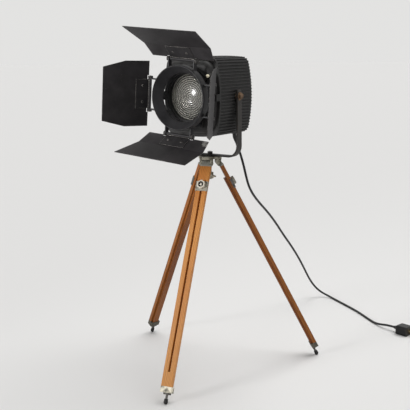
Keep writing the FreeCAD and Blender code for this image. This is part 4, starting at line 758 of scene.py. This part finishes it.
# The front knob: its recess round the bolt is painted dark, as painted shade.
KNOB_STEEL = Metal((0.66, 0.61, 0.52), (0.20, 0.18, 0.145), 0.42, 0.6, 0.3, shaded_ring=(0.0038, 0.0094))
CLAMP_STEEL = Metal((0.31, 0.29, 0.24), (0.080, 0.070, 0.048), 0.45, 0.6, 0.5)
RUSTY = Metal((0.17, 0.105, 0.060), (0.070, 0.038, 0.020), 0.55, 0.6, 0.6, 0.0002)
LATCH_METAL = Metal(
    (0.035, 0.033, 0.030),
    (0.020, 0.018, 0.015),
    0.5,
    0.3,
    0.2,
    end_colour=(0.82, 0.75, 0.56),
    end_height=-0.1337,
)
PIN_BRASS = Metal((0.62, 0.45, 0.20), (0.34, 0.23, 0.10), 0.25, 0.95, 0.25)
MIRROR = Metal((0.86, 0.85, 0.80), (0.50, 0.46, 0.38), 0.34, 0.75, 0.15, 0.00002)
BLACK_PLASTIC = Moulded((0.014, 0.014, 0.015), 0.36, 0.00002, coat=0.15)
BLACK_RUBBER = Moulded((0.020, 0.020, 0.020), 0.6, 0.00006, dusting=0.16)
CORD_RUBBER = Moulded((0.010, 0.010, 0.0105), 0.45, 0.00003, dusting=0.05)
PLUG_PLASTIC = Moulded((0.006, 0.006, 0.0065), 0.34, 0.00003, dusting=0.02)
CERAMIC = Moulded((0.66, 0.63, 0.56), 0.34, 0.00003, (0.40, 0.36, 0.30), 0.2, 0.5)
# The lens: its rings of painted shade follow the prisms' pitch of 6.82 millimetres.
LENS_GLASS = Glass((0.95, 0.93, 0.86), 0.14, 0.2, 0.76, 6.82, (0.075, 0.072, 0.058))
LAMP_GLASS = Glass((0.95, 0.96, 0.97), 0.015, 0.1)
BOARD_WOOD = Timber()
# The rear legs' boards: the front board's wood painted darker, as painted shade.
SHADED_REAR_WOOD = Timber((0.34, 0.115, 0.015), (0.25, 0.072, 0.008), (0.085, 0.021, 0.004), varnish=0.08)
# The sliding bars: the boards' wood painted dark, as painted shade for where they lie behind the slotted
# boards.
SHADED_BAR_WOOD = Timber((0.30, 0.095, 0.014), (0.20, 0.055, 0.008), (0.07, 0.019, 0.004), varnish=0.06)


def dress(frame: dict, node: str, finish: object, place: Matrix, **extra: object) -> None:
    """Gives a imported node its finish.

    Args:
        frame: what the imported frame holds.
        node: the node's name.
        finish: the finish that makes its material.
        place: the frame that the patterns lie in.
        extra: what else the finish takes.
    """
    material = finish.material(f"{node}_finish", place, **extra)
    for entry in frame["nodes"][node].material_slots:
        entry.material = material
    log.info("dressed %s", node)


# ---------------------------------------------------------------- modelling


class Bench:
    """Edit-mode tools, used as by hand on one new mesh at a time."""

    @staticmethod
    def clear() -> None:
        """Deselects everything, in object mode."""
        bpy.ops.object.select_all(action="DESELECT")

    @staticmethod
    def disc(radius: float, sides: int) -> bpy.types.Object:
        """Adds a filled round plate, facing up, in edit mode with its face selected.

        Args:
            radius: its radius in millimetres.
            sides: how many corners it has.

        Returns:
            The plate.
        """
        Bench.clear()
        bpy.ops.mesh.primitive_circle_add(vertices=sides, radius=radius * MM, fill_type="NGON")
        bpy.ops.object.mode_set(mode="EDIT")
        bpy.ops.mesh.select_mode(type="FACE")
        bpy.ops.mesh.select_all(action="SELECT")
        return bpy.context.object

    @staticmethod
    def ring_in(inward: float, rise: float) -> None:
        """Insets the selected face by millimetres and lifts it by millimetres."""
        bpy.ops.mesh.inset(thickness=inward * MM, depth=rise * MM)

    @staticmethod
    def done(piece: bpy.types.Object, name: str, place: Matrix, smooth: float) -> bpy.types.Object:
        """Leaves edit mode, bakes the piece's place into its mesh, and smooths its gentle edges.

        Args:
            piece: the object on the bench.
            name: its name.
            place: where its frame stands.
            smooth: the angle in degrees below which an edge is smooth.

        Returns:
            The piece, at the origin.
        """
        if bpy.context.mode == "EDIT_MESH":
            bpy.ops.object.mode_set(mode="OBJECT")
        piece.name = name
        piece.data.name = name
        piece.data.transform(place @ piece.matrix_world)
        piece.matrix_world = Matrix.Identity(4)
        Bench.clear()
        piece.select_set(True)
        bpy.context.view_layer.objects.active = piece
        bpy.ops.object.shade_smooth_by_angle(angle=math.radians(smooth))
        Bench.clear()
        return piece


# ---------------------------------------------------------------- cord


@dataclass(frozen=True)
class Cord:
    """The mains lead: out of the strain relief, down to the floor and along it to the plug."""

    start: tuple[float, float, float] = (0.0500, 0.08832, 0.79069)
    fall: tuple[tuple[float, float, float], ...] = (
        (0.0508, 0.1005, 0.768),
        (0.0555, 0.1130, 0.735),
        (0.0585, 0.1260, 0.697),
        (0.0600, 0.1380, 0.661),
        (0.0585, 0.1570, 0.625),
        (0.0520, 0.1960, 0.588),
        (0.0400, 0.2620, 0.544),
        (0.0250, 0.3450, 0.495),
        (0.0100, 0.4310, 0.437),
        (-0.0040, 0.5210, 0.366),
        (-0.0140, 0.6030, 0.303),
        (-0.0230, 0.6720, 0.246),
        (-0.0310, 0.7400, 0.183),
        (-0.0400, 0.8080, 0.115),
        (-0.0430, 0.8620, 0.064),
        (-0.0270, 0.8980, 0.025),
    )
    floor: tuple[tuple[float, float], ...] = (
        (0.022, 0.908),
        (0.083, 0.868),
        (0.149, 0.827),
        (0.216, 0.782),
        (0.283, 0.728),
        (0.330, 0.691),
    )
    rise: tuple[tuple[float, float, float], ...] = (
        (0.364, 0.672, 0.0105),
        (0.397, 0.660, 0.0182),
        (0.430, 0.653, 0.0182),
    )
    floor_height: float = 0.0044
    diameter: float = 0.0086
    length: float = 1.67

    def build(self) -> bpy.types.Object:
        """Makes the lead as one smooth spline through the route's control points.

        Returns:
            The lead.
        """
        route = [self.start, *self.fall, *((x, y, self.floor_height) for x, y in self.floor), *self.rise]
        line = bpy.data.curves.new("mains_cord", "CURVE")
        line.dimensions = "3D"
        line.bevel_depth = self.diameter / 2
        line.bevel_resolution = 4
        line.resolution_u = 16
        line.use_fill_caps = True
        spline = line.splines.new("NURBS")
        spline.points.add(len(route) - 1)
        for point, place in zip(spline.points, route):
            point.co = (*place, 1.0)
        spline.order_u = 3
        spline.use_endpoint_u = True
        piece = bpy.data.objects.new("mains_cord", line)
        bpy.context.collection.objects.link(piece)
        line.materials.append(CORD_RUBBER.material("mains_cord_finish", Matrix.Identity(4)))
        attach(piece, "yoke")
        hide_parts("cord")
        log.info("made mains_cord")
        return piece

    def dress(self, frame: dict) -> None:
        """Gives the plug its finishes."""
        dress(frame, "plug_body", PLUG_PLASTIC, Matrix.Identity(4))
        dress(frame, "plug_pins", PIN_BRASS, Matrix.Identity(4))


# ---------------------------------------------------------------- lens


@dataclass(frozen=True)
class StepLens:
    """The stepped lens: fine concentric prisms round a small bulged centre, sizes in millimetres."""

    radius: float = 79.0
    window: float = 75.0
    centre: float = 6.82
    prisms: int = 10
    face: float = 112.0
    thick: float = 5.0
    curve: float = 115.0
    riser: float = 0.12
    bulge_step: float = 1.7
    bulge_rises: tuple[float, ...] = (0.10, 0.07, 0.04)
    sides: int = 128

    def build(self) -> bpy.types.Object:
        """Cuts the prisms ring by ring into a round blank.

        Returns:
            The lens.
        """
        piece = Bench.disc(self.radius, self.sides)
        Bench.ring_in(self.radius - self.window, 0.0)
        pitch = (self.window - self.centre) / self.prisms
        for number in range(self.prisms):
            deep = pitch * (self.window - pitch * (number + 0.5)) / self.curve
            Bench.ring_in(self.riser, -deep)
            Bench.ring_in(pitch - self.riser, deep)
        for rise in self.bulge_rises:
            Bench.ring_in(self.bulge_step, rise)
        bpy.ops.mesh.poke()
        bpy.ops.mesh.select_mode(type="EDGE")
        bpy.ops.mesh.select_all(action="DESELECT")
        bpy.ops.mesh.select_non_manifold()
        bpy.ops.mesh.extrude_region_move(TRANSFORM_OT_translate={"value": (0.0, 0.0, -self.thick * MM)})
        bpy.ops.mesh.edge_face_add()
        bpy.ops.mesh.select_all(action="SELECT")
        bpy.ops.mesh.normals_make_consistent(inside=False)
        place = PLACES.lamp() @ shift(y=-self.face) @ turn("X", 90.0)
        Bench.done(piece, "step_lens", place, 20.0)
        piece.data.materials.append(LENS_GLASS.material("step_lens_finish", PLACES.lamp()))
        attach(piece, "lens_door")
        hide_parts("fresnel_lens")
        log.info("made step_lens")
        return piece


# ---------------------------------------------------------------- sub-assemblies


@dataclass(frozen=True)
class TripodHead:
    """The cast plate with its leg brackets and the screw that holds the yoke."""

    def dress(self, frame: dict) -> None:
        """Gives the head its finishes.

        Args:
            frame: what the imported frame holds.
        """
        place = Matrix.Identity(4)
        dress(frame, "head_plate", CAST_METAL, place)
        dress(frame, "leg_brackets", CAST_METAL, place)
        dress(frame, "pan_screw", STEEL, place)
        dress(frame, "pan_knob", CAST_METAL, place)


@dataclass(frozen=True)
class Yoke:
    """The bent strap that carries the lamp house, rusted at a spot in millimetres by its pivot."""

    rusted: Spot = (125.0, 0.0, -4.0, 17.0)

    def dress(self, frame: dict) -> None:
        """Gives the strap its finish."""
        dress(frame, "yoke", STRAP_PAINT, PLACES.lamp(), bare=self.rusted)


@dataclass(frozen=True)
class LampHouse:
    """The ribbed cast house with its cover, pivots and cord outlet."""

    def dress(self, frame: dict) -> None:
        """Gives the house its finishes.

        Args:
            frame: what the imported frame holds.
        """
        place = PLACES.lamp()
        dress(frame, "housing_shell", HOUSE_PAINT, place)
        dress(frame, "rear_cover", HOUSE_PAINT, place)
        dress(frame, "rear_cover_screws", DULL_STEEL, place)
        dress(frame, "trunnion_bolts", RUSTY, place)
        dress(frame, "cord_gland", BLACK_PLASTIC, place)
        dress(frame, "strain_relief", BLACK_RUBBER, place)
        dress(frame, "terminal_block", CERAMIC, place)
        dress(frame, "guide_rods", STEEL, place)
        dress(frame, "door_hinge", DULL_STEEL, place)
        dress(frame, "door_catch", BLACKED, place)
        dress(frame, "tilt_knob", BLACK_PLASTIC, place)


@dataclass(frozen=True)
class FocusGear:
    """The lamp on its sliding carriage."""

    def dress(self, frame: dict) -> None:
        """Gives the gear its finishes.

        Args:
            frame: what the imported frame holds.
        """
        place = PLACES.lamp()
        dress(frame, "lamp_carriage", STEEL, place)
        dress(frame, "lamp_socket", CERAMIC, place)
        dress(frame, "lamp_bulb", LAMP_GLASS, place)
        dress(frame, "reflector", MIRROR, place)
        dress(frame, "focus_screw", STEEL, place)
        dress(frame, "focus_knob", BLACK_PLASTIC, place)


@dataclass(frozen=True)
class LensDoor:
    """The cast front door with its lens and colour frame runners."""

    lens: StepLens = StepLens()

    def dress(self, frame: dict) -> None:
        """Gives the door its finishes.

        Args:
            frame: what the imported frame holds.
        """
        place = PLACES.lamp()
        dress(frame, "lens_door", HOUSE_PAINT, place)
        dress(frame, "lens_clip", STEEL, place)
        dress(frame, "frame_runners", RING_PAINT, place)
        dress(frame, "frame_latch", LATCH_METAL, place @ turn("X", -90.0))


@dataclass(frozen=True)
class BarnDoors:
    """The coned ring and its four sheet-metal leaves, the bottom one worn bare at a spot."""

    worn: Spot = (-118.0, -12.0, 3.6, 26.0)

    def dress(self, frame: dict) -> None:
        """Gives the ring and leaves their finishes.

        Args:
            frame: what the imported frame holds.
        """
        dress(frame, "barndoor_ring", RING_PAINT, PLACES.ring())
        for leaf in Leaf:
            place = PLACES.leaf(leaf)
            extra = {"bare": self.worn} if leaf is Leaf.BOTTOM else {}
            dress(frame, f"leaf_{leaf.label}", LEAF_PAINT, place, **extra)
            dress(frame, f"leaf_{leaf.label}_hinge", HINGE_PAINT, place)


@dataclass(frozen=True)
class Leg:
    """One folding, sliding leg."""

    number: int

    def dress(self, frame: dict) -> None:
        """Gives the leg its finishes.

        Args:
            frame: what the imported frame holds.
        """
        place = PLACES.leg(self.number)
        prefix = f"leg_{self.number}"
        front = self.number == LEGS[0]
        # The rear legs' boards take the darker wood, which is painted shade.
        board = BOARD_WOOD if front else SHADED_REAR_WOOD
        dress(frame, f"{prefix}_board", replace(board, seed=self.number), place)
        dress(frame, f"{prefix}_fittings", BRIGHT_END if front else DARK_END, place)
        # The bar's wood is painted dark, as painted shade.
        dress(frame, f"{prefix}_bar", replace(SHADED_BAR_WOOD, seed=self.number + 4.0), place)
        dress(frame, f"{prefix}_foot", DULL_STEEL, place)
        dress(frame, f"{prefix}_tip", BLACK_RUBBER, place)
        dress(frame, f"{prefix}_clamp", CLAMP_STEEL if front else DULL_STEEL, place)
        knob = KNOB_STEEL if front else CLAMP_STEEL
        dress(frame, f"{prefix}_knob", knob, PLACES.clamp(self.number))


# ---------------------------------------------------------------- camera and studio


@dataclass(frozen=True)
class Viewpoint:
    """The camera: its place in metres, its angles in radians and its focal length in frame widths."""

    place: tuple[float, float, float] = (1.5713, -2.2522, 1.1128)
    yaw: float = 0.6162
    pitch: float = 0.1932
    roll: float = -0.0101
    focal: float = 801.66 / 410.0
    sensor: float = 36.0

    def build(self) -> bpy.types.Object:
        """Makes the camera and hands it to the scene.

        Returns:
            The camera.
        """
        ahead = Vector((-math.sin(self.yaw), math.cos(self.yaw), 0.0))
        side = Vector((math.cos(self.yaw), math.sin(self.yaw), 0.0))
        above = Vector((0.0, 0.0, 1.0))
        forward = math.cos(self.pitch) * ahead - math.sin(self.pitch) * above
        upward = math.sin(self.pitch) * ahead + math.cos(self.pitch) * above
        right = math.cos(self.roll) * side + math.sin(self.roll) * upward
        upright = -math.sin(self.roll) * side + math.cos(self.roll) * upward
        lens = bpy.data.cameras.new("view")
        lens.sensor_width = self.sensor
        lens.lens = self.focal * self.sensor
        camera = bpy.data.objects.new("view", lens)
        turned = Matrix((right, upright, -forward)).transposed().to_4x4()
        camera.matrix_world = Matrix.Translation(self.place) @ turned
        bpy.context.collection.objects.link(camera)
        bpy.context.scene.camera = camera
        log.info("made the camera")
        return camera


@dataclass(frozen=True)
class Softbox:
    """One soft lamp of the studio, aimed at the object, sizes in metres."""

    name: str
    place: tuple[float, float, float]
    size: float
    power: float
    aim: tuple[float, float, float] = (0.0, 0.0, 0.95)
    spread: float = 50.0

    def build(self) -> None:
        """Hangs the lamp."""
        lamp = bpy.data.lights.new(self.name, "AREA")
        lamp.size = self.size
        lamp.energy = self.power
        lamp.spread = math.radians(self.spread)
        holder = bpy.data.objects.new(self.name, lamp)
        holder.location = self.place
        ray = Vector(self.aim) - Vector(self.place)
        holder.rotation_euler = ray.to_track_quat("-Z", "Y").to_euler()
        bpy.context.collection.objects.link(holder)


@dataclass(frozen=True)
class Studio:
    """The plain pale floor, the white surroundings and the soft lamps."""

    floor_colour: Colour = (0.75, 0.745, 0.735)
    backdrop: Colour = (0.767, 0.764, 0.754)
    ambient: float = 0.42
    overhead: float = 1.9
    softness: float = 50.0
    lean: tuple[float, float, float] = (-0.28, 0.12, 0.0)
    floor_radius: float = 60.0
    floor_sides: int = 96
    floor_roughness: float = 0.75
    floor_gloss: float = 0.25
    softboxes: tuple[Softbox, ...] = (
        Softbox("front_light", (-1.10, -2.85, 1.49), 0.7, 4.6),
        Softbox("low_light", (-1.30, -1.75, 0.30), 0.35, 0.45),
    )

    def build(self) -> None:
        """Sets up the studio."""
        self._floor()
        self._surroundings()
        self._skylight()
        for softbox in self.softboxes:
            softbox.build()
        bpy.context.scene.view_settings.view_transform = "Standard"
        log.info("made the studio")

    def _skylight(self) -> None:
        """Hangs a wide, even light overhead."""
        lamp = bpy.data.lights.new("skylight", "SUN")
        lamp.energy = self.overhead
        lamp.angle = math.radians(self.softness)
        holder = bpy.data.objects.new("skylight", lamp)
        holder.location = (0.0, 0.0, 4.0)
        holder.rotation_euler = self.lean
        bpy.context.collection.objects.link(holder)

    def _floor(self) -> None:
        """Lays the floor under the tips of the legs."""
        Bench.clear()
        bpy.ops.mesh.primitive_circle_add(
            vertices=self.floor_sides, radius=self.floor_radius, fill_type="NGON"
        )
        floor = bpy.context.object
        floor.name = "studio_floor"
        shader = Shader("studio_floor_finish")
        material = shader.finish(
            Base_Color=self.floor_colour,
            Roughness=self.floor_roughness,
            Specular_IOR_Level=self.floor_gloss,
        )
        floor.data.materials.append(material)

    def _surroundings(self) -> None:
        """Lights the object from all round and shows the backdrop behind it."""
        world = bpy.data.worlds.new("studio_world")
        bpy.context.scene.world = world
        world.use_nodes = True
        tree = world.node_tree
        tree.nodes.clear()
        path = tree.nodes.new("ShaderNodeLightPath")
        seen = tree.nodes.new("ShaderNodeMath")
        seen.operation = "MAXIMUM"
        shown = tree.nodes.new("ShaderNodeMath")
        shown.operation = "MAXIMUM"
        tree.links.new(path.outputs["Is Camera Ray"], seen.inputs[0])
        tree.links.new(path.outputs["Is Glossy Ray"], seen.inputs[1])
        tree.links.new(seen.outputs[0], shown.inputs[0])
        tree.links.new(path.outputs["Is Transmission Ray"], shown.inputs[1])
        soft = tree.nodes.new("ShaderNodeBackground")
        soft.inputs["Color"].default_value = (1.0, 1.0, 1.0, 1.0)
        soft.inputs["Strength"].default_value = self.ambient
        plain = tree.nodes.new("ShaderNodeBackground")
        plain.inputs["Color"].default_value = (*self.backdrop, 1.0)
        chosen = tree.nodes.new("ShaderNodeMixShader")
        tree.links.new(shown.outputs[0], chosen.inputs[0])
        tree.links.new(soft.outputs[0], chosen.inputs[1])
        tree.links.new(plain.outputs[0], chosen.inputs[2])
        output = tree.nodes.new("ShaderNodeOutputWorld")
        tree.links.new(chosen.outputs[0], output.inputs["Surface"])


# ---------------------------------------------------------------- main


def main() -> None:
    """Builds and dresses the spotlight in order."""
    logging.basicConfig(level=logging.INFO, format="%(message)s")
    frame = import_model()
    Viewpoint().build()
    cord = Cord()
    cord.build()
    cord.dress(frame)
    TripodHead().dress(frame)
    for number in LEGS:
        Leg(number).dress(frame)
    Yoke().dress(frame)
    LampHouse().dress(frame)
    FocusGear().dress(frame)
    door = LensDoor()
    door.dress(frame)
    door.lens.build()
    BarnDoors().dress(frame)
    Studio().build()


if __name__ == "__main__":
    main()
